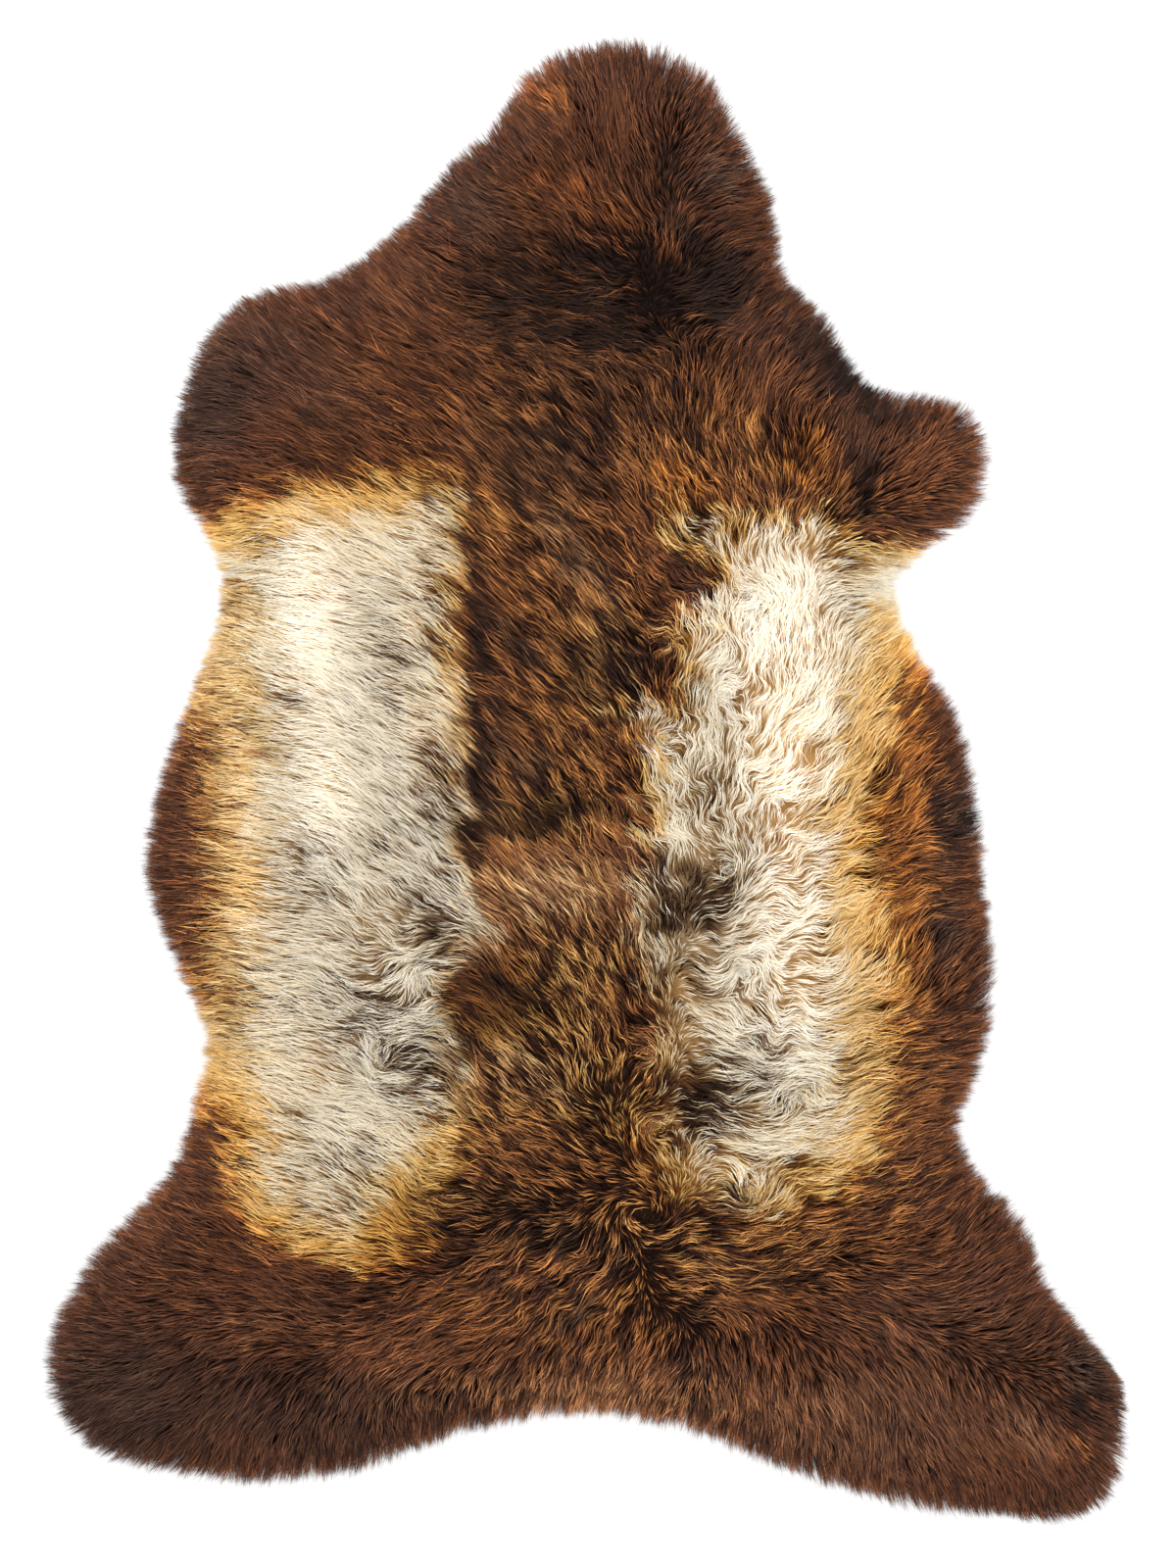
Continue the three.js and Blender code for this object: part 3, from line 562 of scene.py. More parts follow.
def hide_outline():
    """The corners of the hide's lower face in order, in millimetres."""
    copy = merged_copy("hide", "outline")
    shape = bmesh.new()
    shape.from_mesh(copy.data)
    shape.normal_update()
    beside = {}
    for edge in shape.edges:
        downward = [face.normal.z < FACES_DOWN for face in edge.link_faces]
        if sum(downward) == 1:
            first, second = edge.verts
            beside.setdefault(first, []).append(second)
            beside.setdefault(second, []).append(first)
    start = min(beside, key=lambda corner: tuple(corner.co))
    outline, previous, corner = [], None, start
    while corner is not start or not outline:
        outline.append((corner.co.x / MM, corner.co.y / MM))
        previous, corner = corner, next(c for c in beside[corner] if c is not previous)
    shape.free()
    bpy.data.objects.remove(copy)
    return np.array(outline)


def depth_inside(points, outline):
    """How far points lie inside an outline, below 0 outside it, and the nearest edge and place on it."""
    starts, ends = outline, np.roll(outline, -1, axis=0)
    runs = ends - starts
    lengths = (runs ** 2).sum(axis=1)
    depth = np.empty(len(points))
    edge = np.empty(len(points), int)
    place = np.empty(len(points))
    for first in range(0, len(points), POINTS_PER_OUTLINE):
        chunk = slice(first, first + POINTS_PER_OUTLINE)
        part = points[chunk, None, :]
        share = np.clip(((part - starts) * runs).sum(axis=2) / lengths, 0, 1)
        gap = np.hypot(*np.moveaxis(part - starts - share[..., None] * runs, 2, 0))
        nearest = gap.argmin(axis=1)
        rows = np.arange(len(nearest))
        px, py = part[:, 0, 0, None], part[:, 0, 1, None]
        straddles = (starts[:, 1] > py) != (ends[:, 1] > py)
        rise = np.where(runs[:, 1] == 0, 1, runs[:, 1])
        crossing = starts[:, 0] + (py - starts[:, 1]) / rise * runs[:, 0]
        inside = ((straddles & (px < crossing)).sum(axis=1) % 2) == 1
        depth[chunk] = gap[rows, nearest] * np.where(inside, 1, -1)
        edge[chunk] = nearest
        place[chunk] = share[rows, nearest]
    return depth, edge, place


class Chart:
    """Measures over the floor plan, taken on a square grid and read anywhere between its points."""

    def __init__(self, measure):
        self.across = np.arange(-CHART_HALF[0], CHART_HALF[0] + 1, CHART_PITCH)
        self.along = np.arange(-CHART_HALF[1], CHART_HALF[1] + 1, CHART_PITCH)
        x, y = np.meshgrid(self.across, self.along)
        values = measure(np.column_stack([x.ravel(), y.ravel()]))
        self.values = values.reshape(len(self.along), len(self.across), -1)

    def at(self, points):
        column = np.clip((points[..., 0] - self.across[0]) / CHART_PITCH, 0, len(self.across) - CHART_LAST)
        row = np.clip((points[..., 1] - self.along[0]) / CHART_PITCH, 0, len(self.along) - CHART_LAST)
        c, r = column.astype(int), row.astype(int)
        u, v = (column - c)[..., None], (row - r)[..., None]
        lower = between(self.values[r, c], self.values[r, c + 1], u)
        upper = between(self.values[r + 1, c], self.values[r + 1, c + 1], u)
        return between(lower, upper, v)


def height_of(node):
    """A measure of how high the top of a node is, in millimetres."""
    tree = BVHTree.FromObject(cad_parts[node], bpy.context.evaluated_depsgraph_get())
    down = Vector((0, 0, -1))

    def measure(points):
        hits = [tree.ray_cast(Vector((x * MM, y * MM, ABOVE_ALL)), down)[0] for x, y in points]
        return np.array([hit.z / MM if hit else 0 for hit in hits])
    return measure


def rim_of(outline):
    """A measure of how far a place is inside the outline, and of the way out to it."""
    def measure(points):
        depth, edge, share = depth_inside(points, outline)
        following = np.roll(outline, -1, axis=0)
        nearest = between(outline[edge], following[edge], share[:, None])
        way = (nearest - points) * np.sign(depth)[:, None]
        way /= np.hypot(way[:, 0], way[:, 1])[:, None] + TINY
        return np.column_stack([depth, way])
    return measure


class Ripples:
    """Smooth noise over the floor plan, mostly between -1 and 1: a sum of waves with scattered headings."""

    def __init__(self, random, shortest, longest, count=16):
        heading = random.uniform(0, TURN, count)
        rate = TURN / random.uniform(shortest, longest, count)
        self.rate = rate * np.array([np.cos(heading), np.sin(heading)])
        self.phase = random.uniform(0, TURN, count)

    def at(self, points):
        waves = np.cos(points @ self.rate + self.phase)
        return waves.sum(axis=-1) / math.sqrt(len(self.phase))


class Crimp:
    """Waves that run along the wool, so that locks side by side bend together."""

    def __init__(self, random):
        headings = np.arange(CRIMP_TRAINS) * TURN / CRIMP_TRAINS
        self.trains = [
            (heading, TURN / length, Ripples(random, *CRIMP_DRIFT_WAVES))
            for heading, length in zip(headings, random.uniform(*CRIMP_WAVES, CRIMP_TRAINS))
        ]

    def at(self, points, heading):
        total, weight = 0, TINY
        for own, rate, drift in self.trains:
            apart = np.angle(np.exp(1j * (heading - own)))
            share = np.exp(-(apart * CRIMP_TRAINS / TURN) ** 2)
            forward = points @ np.array([math.cos(own), math.sin(own)])
            total = total + share * np.cos(rate * forward + CRIMP_DRIFT * drift.at(points))
            weight = weight + share ** 2
        return total / np.sqrt(weight)


# How the wool lies and how it is marked

def wool_share(points):
    """How far the fringe reaches at each point, as a share of the overhang."""
    share = np.ones(len(points))
    for x, y, reach, change in RIM_CHANGES:
        distance = np.hypot(points[:, 0] - x, points[:, 1] - y)
        share = share + change * np.exp(-(distance / reach) ** 2)
    return share


def lay_of(rim, random):
    """A measure of how the wool lies: its heading as cosine and sine, its run, sway and gathering."""
    rows = np.array(LAY, float)
    guides = np.column_stack([np.cos(np.radians(rows[:, 2])), np.sin(np.radians(rows[:, 2])), rows[:, 3:]])
    drift = Ripples(random, *DRIFT_WAVES)

    def measure(points):
        found = np.empty((len(points), 5))
        for first in range(0, len(points), POINTS_PER_LAY):
            part = points[first:first + POINTS_PER_LAY]
            gaps = ((part[:, None, :] - rows[None, :, :2]) ** 2).sum(axis=2)
            weights = (gaps + LAY_REACH ** 2) ** -LAY_POWER
            found[first:first + POINTS_PER_LAY] = weights @ guides / weights.sum(axis=1)[:, None]
        way = found[:, :2] / (np.hypot(found[:, 0], found[:, 1])[:, None] + TINY)
        for x, y, reach, turn in WHORLS:
            away = points - (x, y)
            distance = np.hypot(away[:, 0], away[:, 1])[:, None] + WHORL_MIDDLE
            share = WHORL_PULL * np.exp(-(distance / reach) ** 2)
            round_it = np.column_stack([-away[:, 1], away[:, 0]]) * turn
            way = way + share * (round_it - WHORL_CLOSES * away) / distance
        beside = rim.at(points)
        pull = RIM_PULL * (1 - smooth_step(beside[:, :1], 0, RIM_PULL_DEPTH))
        way = between(way / np.hypot(way[:, 0], way[:, 1])[:, None], beside[:, 1:], pull)
        sway = np.radians(found[:, 3]) * (1 - pull[:, 0])
        turned = np.arctan2(way[:, 1], way[:, 0]) + math.radians(DRIFT) * drift.at(points)
        return np.column_stack([np.cos(turned), np.sin(turned), found[:, 2], sway, found[:, 4]])
    return measure


def crimp_wool(lay, random):
    """Shortens the wool where it parts, so that it stands there, and bends all of it in waves."""
    cosine, sine = lay.values[..., 0], lay.values[..., 1]
    parting = np.gradient(cosine, CHART_PITCH, axis=1) + np.gradient(sine, CHART_PITCH, axis=0)
    lay.values[..., 2] /= 1 + PARTING_SHORTENS * np.maximum(parting, 0) * lay.values[..., 2]
    x, y = np.meshgrid(lay.across, lay.along)
    heading = np.arctan2(sine, cosine)
    bent = heading + lay.values[..., 3] * Crimp(random).at(np.stack([x, y], axis=2), heading)
    lay.values[..., 0], lay.values[..., 1] = np.cos(bent), np.sin(bent)


def patch_at(points, patch):
    """How far into a pale patch points lie, as a share of the border's width, and how golden that is."""
    rows = np.array(patch, float)
    depth, edge, place = depth_inside(points, rows[:, :2])
    following = (edge + 1) % len(rows)
    width, gold = between(rows[edge, 2:], rows[following, 2:], place[:, None]).T
    return depth / width, gold


def nearness(points, x, y, across, along):
    """1 at a place, fading to 0 beyond its reach along x and y."""
    return np.exp(-((points[:, 0] - x) / across) ** 2 - ((points[:, 1] - y) / along) ** 2)


def marks_at(points, chance, ripple, fleck, tuft):
    """Pale, gold and dark of the wool at each point; the dark holds darker hair and painted shade, and below
    0 a painted highlight. Only ripple is wholly from the lock of a strand.
    """
    pale = np.zeros(len(points))
    gold = np.full(len(points), BROWN_WARMTH)
    for patch in (LEFT_PATCH, RIGHT_PATCH):
        into, border = patch_at(points, patch)
        near = smooth_step(into, *GOLD_STARTS)
        gold = between(gold, border, near)
        gold = gold * (1 - GOLD_FADES * smooth_step(into, *GOLD_ENDS))
        mixed = into + PATCH_MIXING * (chance - USUAL_CHANCE) + LOCK_MIXING * ripple
        amber = AMBER * smooth_step(mixed, *AMBER_STARTS)
        cream = (CREAM - AMBER) * smooth_step(mixed, *CREAM_STARTS)
        pale = np.maximum(pale, amber + cream)
    dark_and_shade = np.zeros(len(points))
    # Flecks: darker locks, with painted shade in the gaps between them
    for x, y, across, along, amount in FLECKS:
        share = nearness(points, x, y, across, along)
        flecked = smooth_step(amount * share - fleck, 0, FLECK_EDGE)
        dark_and_shade = np.maximum(dark_and_shade, FLECK_DARKNESS * flecked * pale)
        pale = pale * (1 - FLECK_DEPTH * flecked)
    # Tufts: a painted highlight makes lit tufts paler, and painted shade darkens the wool between them
    for x, y, across, along, paler, darker_and_shaded in TUFTS:
        share = nearness(points, x, y, across, along) * (1 - pale)
        lit = smooth_step(tuft + TUFT_CHANCE * chance, *LIT_TUFTS)
        shadowed = 1 - smooth_step(tuft, *DARK_TUFTS)
        pale = pale + paler * share * lit
        dark_and_shade = np.maximum(dark_and_shade, darker_and_shaded * np.minimum(share * TUFT_SPREAD, 1) * shadowed)
    # Spots: their added dark is darker hair and painted shade, and below 0 a painted highlight; some take
    # gold away for a grey painted sheen
    for x, y, long, wide, heading, paler, golden, darker_and_shaded in SPOTS:
        turn = math.radians(heading)
        across, along = points[:, 0] - x, points[:, 1] - y
        forward = (across * math.cos(turn) + along * math.sin(turn)) / long
        sideways = (along * math.cos(turn) - across * math.sin(turn)) / wide
        share = np.exp(-(forward ** 2 + sideways ** 2) ** SPOT_EDGE)
        pale = pale + share * paler
        gold = between(gold, golden, share)
        dark_and_shade = dark_and_shade + share * darker_and_shaded
    return np.clip(pale, 0, 1), np.clip(gold, 0, 1), np.clip(dark_and_shade, *DARK_LIMITS)


# Materials

def link(tree, *pairs):
    for source, target in pairs:
        tree.links.new(source, target)


def node(tree, kind, **settings):
    made = tree.nodes.new(kind)
    for name, value in settings.items():
        setattr(made, name, value)
    return made


def set_inputs(made, values):
    for name, value in values.items():
        made.inputs[name].default_value = value


def fill_ramp(ramp, stops):
    """Sets a colour ramp to rows of place and colour."""
    elements = ramp.color_ramp.elements
    while len(elements) < len(stops):
        elements.new(0.5)
    for element, (place, colour) in zip(elements, stops):
        element.position = place
        element.color = colour


def calculate(tree, operation, *values, clamp=False):
    """A maths node on numbers or sockets."""
    made = node(tree, "ShaderNodeMath", operation=operation, use_clamp=clamp)
    for socket, value in zip(made.inputs, values):
        if isinstance(value, (int, float)):
            socket.default_value = value
        else:
            tree.links.new(value, socket)
    return made.outputs[0]


def noise(tree, place, scale, detail):
    """The outputs of a noise texture that is read at a place."""
    made = node(tree, "ShaderNodeTexNoise")
    set_inputs(made, {"Scale": scale, "Detail": detail})
    tree.links.new(place, made.inputs["Vector"])
    return made.outputs


def follow(tree, number, start, rate):
    """start + rate * number, as a node."""
    return calculate(tree, "MULTIPLY_ADD", number, rate, start)


def wool_colour_group():
    """Colour of wool from how pale, golden and dark it is, and how far along the lock it lies, with painted
    shade towards the root and a painted highlight at the tip.
    """
    group = bpy.data.node_groups.new("wool colour", "ShaderNodeTree")
    for name in WOOL_NUMBERS:
        group.interface.new_socket(name=name, in_out="INPUT", socket_type="NodeSocketFloat")
    group.interface.new_socket(name="Color", in_out="OUTPUT", socket_type="NodeSocketColor")
    group.interface.new_socket(name="Roughness", in_out="OUTPUT", socket_type="NodeSocketFloat")
    given = node(group, "NodeGroupInput").outputs
    result = node(group, "NodeGroupOutput")

    tip = node(group, "ShaderNodeMapRange", interpolation_type="SMOOTHSTEP")
    set_inputs(tip, {"From Min": TIP_RANGE[0], "From Max": TIP_RANGE[1]})
    link(group, (given["Along"], tip.inputs["Value"]))
    brown = follow(group, given["Chance"], *BROWN_BY_CHANCE)
    bleached = calculate(group, "MULTIPLY", given["Pale"],
                         follow(group, tip.outputs["Result"], *BLEACHED_BY_TIP))
    left_brown = calculate(group, "MULTIPLY", brown, calculate(group, "SUBTRACT", 1.0, given["Pale"]))
    shown = calculate(group, "ADD", left_brown, bleached, clamp=True)

    warm = node(group, "ShaderNodeValToRGB")
    fill_ramp(warm, [
        (0.0, paint(48, 24, 14)), (0.08, paint(88, 46, 25)), (0.14, paint(122, 69, 37)),
        (0.2, paint(160, 92, 44)), (0.34, paint(213, 133, 56)), (0.5, paint(243, 184, 88)),
        (0.68, paint(250, 210, 134)), (0.85, paint(248, 231, 194)), (1.0, paint(249, 242, 226)),
    ])
    cool = node(group, "ShaderNodeValToRGB")
    fill_ramp(cool, [
        (0.0, paint(44, 26, 20)), (0.08, paint(76, 47, 36)), (0.14, paint(106, 74, 58)),
        (0.2, paint(134, 100, 76)), (0.36, paint(170, 139, 108)), (0.55, paint(210, 187, 156)),
        (0.75, paint(236, 220, 194)), (0.9, paint(246, 237, 217)), (1.0, paint(250, 245, 233)),
    ])
    blend = node(group, "ShaderNodeMix", data_type="RGBA", blend_type="MIX")
    link(group, (shown, warm.inputs[0]), (shown, cool.inputs[0]), (given["Gold"], blend.inputs["Factor"]),
         (cool.outputs["Color"], blend.inputs["A"]), (warm.outputs["Color"], blend.inputs["B"]))

    # Painted shade towards the root of a strand and a painted highlight at its tip
    root_lit = follow(group, given["Pale"], *ROOT_LIT_BY_PALE)
    tip_lit = follow(group, given["Pale"], *TIP_LIT_BY_PALE)
    lit = follow(group, tip.outputs["Result"], root_lit, calculate(group, "SUBTRACT", tip_lit, root_lit))
    # The dark number darkens the colour for darker hair and painted shade, and brightens it as a painted
    # highlight below 0
    open_wool = follow(group, given["Dark_and_shade"], *OPEN_BY_DARK)
    own = follow(group, given["Chance"], follow(group, given["Pale"], *LEAST_OWN_BY_PALE),
                 follow(group, given["Pale"], *OWN_RATE_BY_PALE))
    amount = calculate(group, "MULTIPLY", calculate(group, "MULTIPLY", lit, open_wool), own)
    shade = node(group, "ShaderNodeMix", data_type="RGBA", blend_type="MIX", clamp_factor=False)
    set_inputs(shade, {"A": paint(*DEEP_SHADE)})
    link(group, (amount, shade.inputs["Factor"]), (blend.outputs["Result"], shade.inputs["B"]),
         (shade.outputs["Result"], result.inputs["Color"]))
    link(group, (follow(group, given["Chance"], *ROUGHNESS_BY_CHANCE), result.inputs["Roughness"]))
    return group


def new_material(name):
    material = bpy.data.materials.new(name)
    material.use_nodes = True
    return material, material.node_tree, material.node_tree.nodes["Principled BSDF"]


def wool_material(name, group):
    """The material of wool that holds its marks as attributes."""
    material, tree, surface = new_material(name)
    colour = node(tree, "ShaderNodeGroup", node_tree=group)
    for socket in WOOL_NUMBERS:
        attribute = node(tree, "ShaderNodeAttribute", attribute_name=socket.lower())
        link(tree, (attribute.outputs["Fac"], colour.inputs[socket]))
    link(tree, (colour.outputs["Color"], surface.inputs["Base Color"]),
         (colour.outputs["Roughness"], surface.inputs["Roughness"]))
    set_inputs(surface, {"Specular IOR Level": STRAND_GLOSS})
    return material, tree, surface


def underwool_material(group):
    """Dense wool between the roots, with the tufts that show between locks."""
    material, tree, surface = wool_material("dense wool", group)
    place = node(tree, "ShaderNodeTexCoord").outputs["Object"]
    tufts = noise(tree, place, scale=260, detail=4)
    bump = node(tree, "ShaderNodeBump")
    set_inputs(bump, {"Distance": 3 * MM})
    link(tree, (tufts["Fac"], bump.inputs["Height"]), (bump.outputs["Normal"], surface.inputs["Normal"]))
    set_inputs(surface, {"Specular IOR Level": 0.1})
    return material


def suede_material():
    """Tanned suede of the flesh side: buff, clouded, with a napped grain."""
    material, tree, surface = new_material("buff suede")
    place = node(tree, "ShaderNodeTexCoord").outputs["Object"]
    clouds = noise(tree, place, scale=9, detail=5)
    tone = node(tree, "ShaderNodeValToRGB")
    fill_ramp(tone, [
        (0.3, paint(176, 148, 116)), (0.5, paint(203, 178, 146)), (0.72, paint(220, 199, 170)),
    ])
    nap = noise(tree, place, scale=900, detail=3)
    speckle = node(tree, "ShaderNodeMix", data_type="RGBA", blend_type="MULTIPLY")
    set_inputs(speckle, {"Factor": 0.25})
    roughness = node(tree, "ShaderNodeMapRange")
    set_inputs(roughness, {"To Min": 0.78, "To Max": 0.95})
    bump = node(tree, "ShaderNodeBump")
    set_inputs(bump, {"Distance": 0.6 * MM})
    link(tree, (clouds["Fac"], tone.inputs[0]),
         (tone.outputs["Color"], speckle.inputs["A"]),
         (nap["Color"], speckle.inputs["B"]),
         (speckle.outputs["Result"], surface.inputs["Base Color"]),
         (clouds["Fac"], roughness.inputs["Value"]),
         (roughness.outputs["Result"], surface.inputs["Roughness"]),
         (nap["Fac"], bump.inputs["Height"]),
         (bump.outputs["Normal"], surface.inputs["Normal"]))
    set_inputs(surface, {"Sheen Weight": 0.2, "Specular IOR Level": 0.2})
    return material


# Pieces

def set_marks(mesh, *values):
    """Gives each corner of a mesh its numbers for the wool colour, in the order of WOOL_NUMBERS."""
    for name, numbers in zip(WOOL_NUMBERS, values):
        attribute = mesh.attributes.new(name.lower(), "FLOAT", "POINT")
        attribute.data.foreach_set("value", np.ascontiguousarray(numbers, dtype=np.float32))


def round_cut_edge():
    """Rounds the edges between the hide's two faces and its cut side."""
    bpy.ops.mesh.select_mode(type="EDGE")
    bpy.ops.mesh.select_all(action="DESELECT")
    bpy.ops.mesh.edges_select_sharp(sharpness=math.radians(SHARP_ANGLE))
    bpy.ops.mesh.bevel(offset=PELT_EDGE_ROUND * MM, segments=2)


def make_pelt():
    """The tanned hide, with a softly rounded cut edge."""
    pelt = merged_copy("hide", "pelt")
    edit(pelt, round_cut_edge)
    select_only(pelt)
    bpy.ops.object.shade_smooth_by_angle(angle=math.radians(SMOOTH_ANGLE))
    pelt.data.materials.append(suede_material())
    return pelt


def drawn_in(plan, outline):
    """Moves points near the rim inward, so that none is left past the cut edge of the hide."""
    measured = rim_of(outline)(plan)
    depth, outward = measured[:, 0], measured[:, 1:]
    outermost = OVERHANG + UNDERWOOL_MARGIN
    squeeze = (UNDERWOOL_SOFT_RIM - UNDERWOOL_INSET) / (UNDERWOOL_SOFT_RIM + outermost)
    wanted = UNDERWOOL_INSET + (depth + outermost) * squeeze
    moved = np.where(depth < UNDERWOOL_SOFT_RIM, np.maximum(wanted - depth, 0), 0)
    return plan - outward * moved[:, None]


def make_underwool(outline, group):
    """The dense wool round the roots: the fleece's form, lowered and drawn in under the locks."""
    underwool = merged_copy("fleece", "underwool")
    mesh = underwool.data
    places = np.empty(len(mesh.vertices) * 3, dtype=np.float32)
    mesh.vertices.foreach_get("co", places)
    places = places.reshape(-1, 3).astype(float) / MM
    places[:, :2] = drawn_in(places[:, :2], outline)
    places[:, 2] = UNDERWOOL_BASE + places[:, 2] * UNDERWOOL_SHARE
    mesh.vertices.foreach_set("co", (places * MM).astype(np.float32).ravel())
    mesh.update()
    everywhere = np.ones(len(places))
    pale, gold, dark_and_shade = marks_at(places[:, :2], *[everywhere * number for number in UNDERWOOL_NUMBERS])
    # Near the root of a strand and a little less pale, the dense wool takes painted shade for the gaps
    # between locks
    along, chance = everywhere * UNDERWOOL_ALONG, everywhere * USUAL_CHANCE
    set_marks(mesh, pale * UNDERWOOL_PALENESS, gold, dark_and_shade, along, chance)
    mesh.materials.append(underwool_material(group))
    select_only(underwool)
    bpy.ops.object.shade_smooth()
    return underwool


def scattered_grid(pitch, jitter, random):
    """Points on a staggered grid over the floor plan, each moved a little."""
    across = np.arange(-CHART_HALF[0], CHART_HALF[0], pitch)
    along = np.arange(-CHART_HALF[1], CHART_HALF[1], pitch * ROW_STEP)
    x, y = np.meshgrid(across, along)
    x = x + (np.arange(len(along)) % 2)[:, None] * pitch / 2
    points = np.column_stack([x.ravel(), y.ravel()])
    return points + random.uniform(-jitter, jitter, points.shape) * pitch


def evenly_spread(centres):
    """A number from 0 to 1 for each lock, far from that of the locks beside it."""
    column = np.round(centres[:, 0] / LOCK_PITCH)
    row = np.round(centres[:, 1] / (LOCK_PITCH * ROW_STEP))
    return (EVEN_STEPS[0] * column + EVEN_STEPS[1] * row) % 1


def make_locks(rim, lay, random):
    """Centres of the locks and how each one differs from the wool round it."""
    centres = scattered_grid(LOCK_PITCH, LOCK_JITTER, random)
    centres = centres[rim.at(centres)[:, 0] > -LOCKS_PAST_RIM]
    sway = lay.at(centres)[:, 3]
    kept = 1 - CURLY_LOCKS_FEWER * smooth_step(sway, *CURLY)
    centres = centres[random.random(len(centres)) < kept]
    sway = lay.at(centres)[:, 3]
    count = len(centres)
    tufts, clouds = Ripples(random, *TUFT_WAVES), Ripples(random, *CLOUD_WAVES)
    east, north = Ripples(random, *MARK_DRIFT_WAVES), Ripples(random, *MARK_DRIFT_WAVES)
    drift = MARK_DRIFT * np.column_stack([east.at(centres), north.at(centres)])
    return {
        "centre": centres,
        "turn": random.normal(0, 1, count) * (LOCK_TURN[0] + LOCK_TURN[1] * sway),
        "run": random.uniform(*LOCK_RUNS, count),
        "curl": random.normal(0, 1, count) * (LOCK_CURL[0] + LOCK_CURL[1] * sway),
        "reach": random.uniform(-1, 1, count),
        "level": random.normal(0, 1, count) * LOCK_LEVEL_SPREAD,
        "ripple": np.clip(
            random.uniform(-RIPPLE_BY_CHANCE, RIPPLE_BY_CHANCE, count)
            + RIPPLE_BY_TUFT * tufts.at(centres) + RIPPLE_BY_CLOUD * clouds.at(centres), -1, 1),
        "shift": drift + random.normal(0, MARK_SHIFT, (count, 2)),
        "fleck": evenly_spread(centres),
        "tuft": np.clip(random.random(count) + TUFT_RIPPLE * tufts.at(centres), 0, 1),
        "bend": sway,
    }


def nearest_locks(roots, centres):
    tree = KDTree(len(centres))
    for number, (x, y) in enumerate(centres):
        tree.insert((x, y, 0), number)
    tree.balance()
    return np.array([tree.find((x, y, 0))[1] for x, y in roots])


def make_strands(rim, lay, locks, random):
    """Where each strand is rooted and how it lies, most of it from its lock."""
    roots = scattered_grid(STRAND_PITCH, STRAND_JITTER, random)
    roots = roots[rim.at(roots)[:, 0] > ROOTS_INSIDE]
    fringe = scattered_grid(RIM_STRAND_PITCH, STRAND_JITTER, random)
    depth = rim.at(fringe)[:, 0]
    fringe = fringe[(depth > RIM_ROOTS_INSIDE) & (depth < RIM_BAND)]
    at_rim = np.concatenate([np.zeros(len(roots), bool), np.ones(len(fringe), bool)])
    roots = np.concatenate([roots, fringe])
    count = len(roots)
    own = nearest_locks(roots, locks["centre"])
    stray = random.random(count) < STRAY_SHARE
    gather = lay.at(roots)[:, 4]
    off_centre = np.hypot(*(roots - locks["centre"][own]).T) / LOCK_PITCH
    contrast = CONTRAST[0] + CONTRAST[1] * gather
    strands = {
        "root": roots,
        "lock": own,
        "rim": at_rim,
        "turn": locks["turn"][own] + random.normal(0, 1, count) * np.where(stray, STRAY_TURN, STRAND_TURN),
        "run": lay.at(roots)[:, 2] * locks["run"][own] * random.uniform(*STRAND_RUNS, count),
        "clump": np.where(
            stray, STRAY_CLUMP,
            np.clip(gather + random.uniform(-CLUMP_SPREAD, CLUMP_SPREAD, count), 0, CLUMP_MOST)),
        "level": LEVEL + locks["level"][own] + random.normal(0, 1, count) * STRAND_LEVEL_SPREAD,
        "roll": random.uniform(-STRAND_ROLL, STRAND_ROLL, count),
        "width": random.uniform(*STRAND_WIDTH, count) * np.where(stray, STRAY_WIDTH, 1),
        "chance": np.clip(
            USUAL_CHANCE + contrast * (
                random.beta(*CHANCE_SHAPE, count) - USUAL_CHANCE
                + CHANCE_RIPPLE * locks["ripple"][own]), 0, 1),
        "fleck": (FLECK_BY_LOCK * locks["fleck"][own] + FLECK_BY_CHANCE * random.random(count)
                  + FLECK_BY_PLACE * off_centre),
        "tuft": (TUFT_BY_LOCK * locks["tuft"][own] + TUFT_BY_CHANCE * random.random(count)
                 + TUFT_BY_PLACE * (0.5 - off_centre)),
        "twist": random.normal(0, 1, count) * STRAND_TWIST,
    }
    usual, by_lock, by_strand = RAGGED
    ragged = usual + by_lock * locks["reach"][own] + by_strand * random.normal(0, 1, count)
    ragged = np.clip(ragged, *RAGGED_LIMITS)
    fit_to_rim(strands, locks, OVERHANG * wool_share(roots) * ragged, rim, lay)
    return strands


def fit_to_rim(strands, locks, reach, rim, lay):
    """Lengthens or shortens the strands near the rim, so that each ends its own reach past the hide."""
    roots, at_rim = strands["root"], strands["rim"]
    chosen = np.flatnonzero(at_rim | (rim.at(roots)[:, 0] < NEAR_RIM))
    for _ in range(FIT_ROUNDS):
        tips = walk(strands, locks, chosen, FIT_SEGMENTS, lay)[:, -1]
        inside, outside = rim.at(roots[chosen])[:, 0], -rim.at(tips)[:, 0]
        fit = (inside + reach[chosen]) / np.maximum(inside + outside, LEAST_REACH)
        fit = np.where(at_rim[chosen], np.clip(fit, *FIT_LIMITS), np.minimum(fit, 1))
        strands["run"][chosen] *= np.where(outside > reach[chosen], np.minimum(fit, 1), fit)
        strands["run"] = np.minimum(strands["run"], LONGEST_RUN)


def way_at(points, lay, own_turn):
    """Which way the wool runs at each point, as a step of length 1, turned by a strand's own angle."""
    cosine, sine = lay.at(points)[:, :2].T
    heading = np.arctan2(sine, cosine) + own_turn
    return np.column_stack([np.cos(heading), np.sin(heading)])


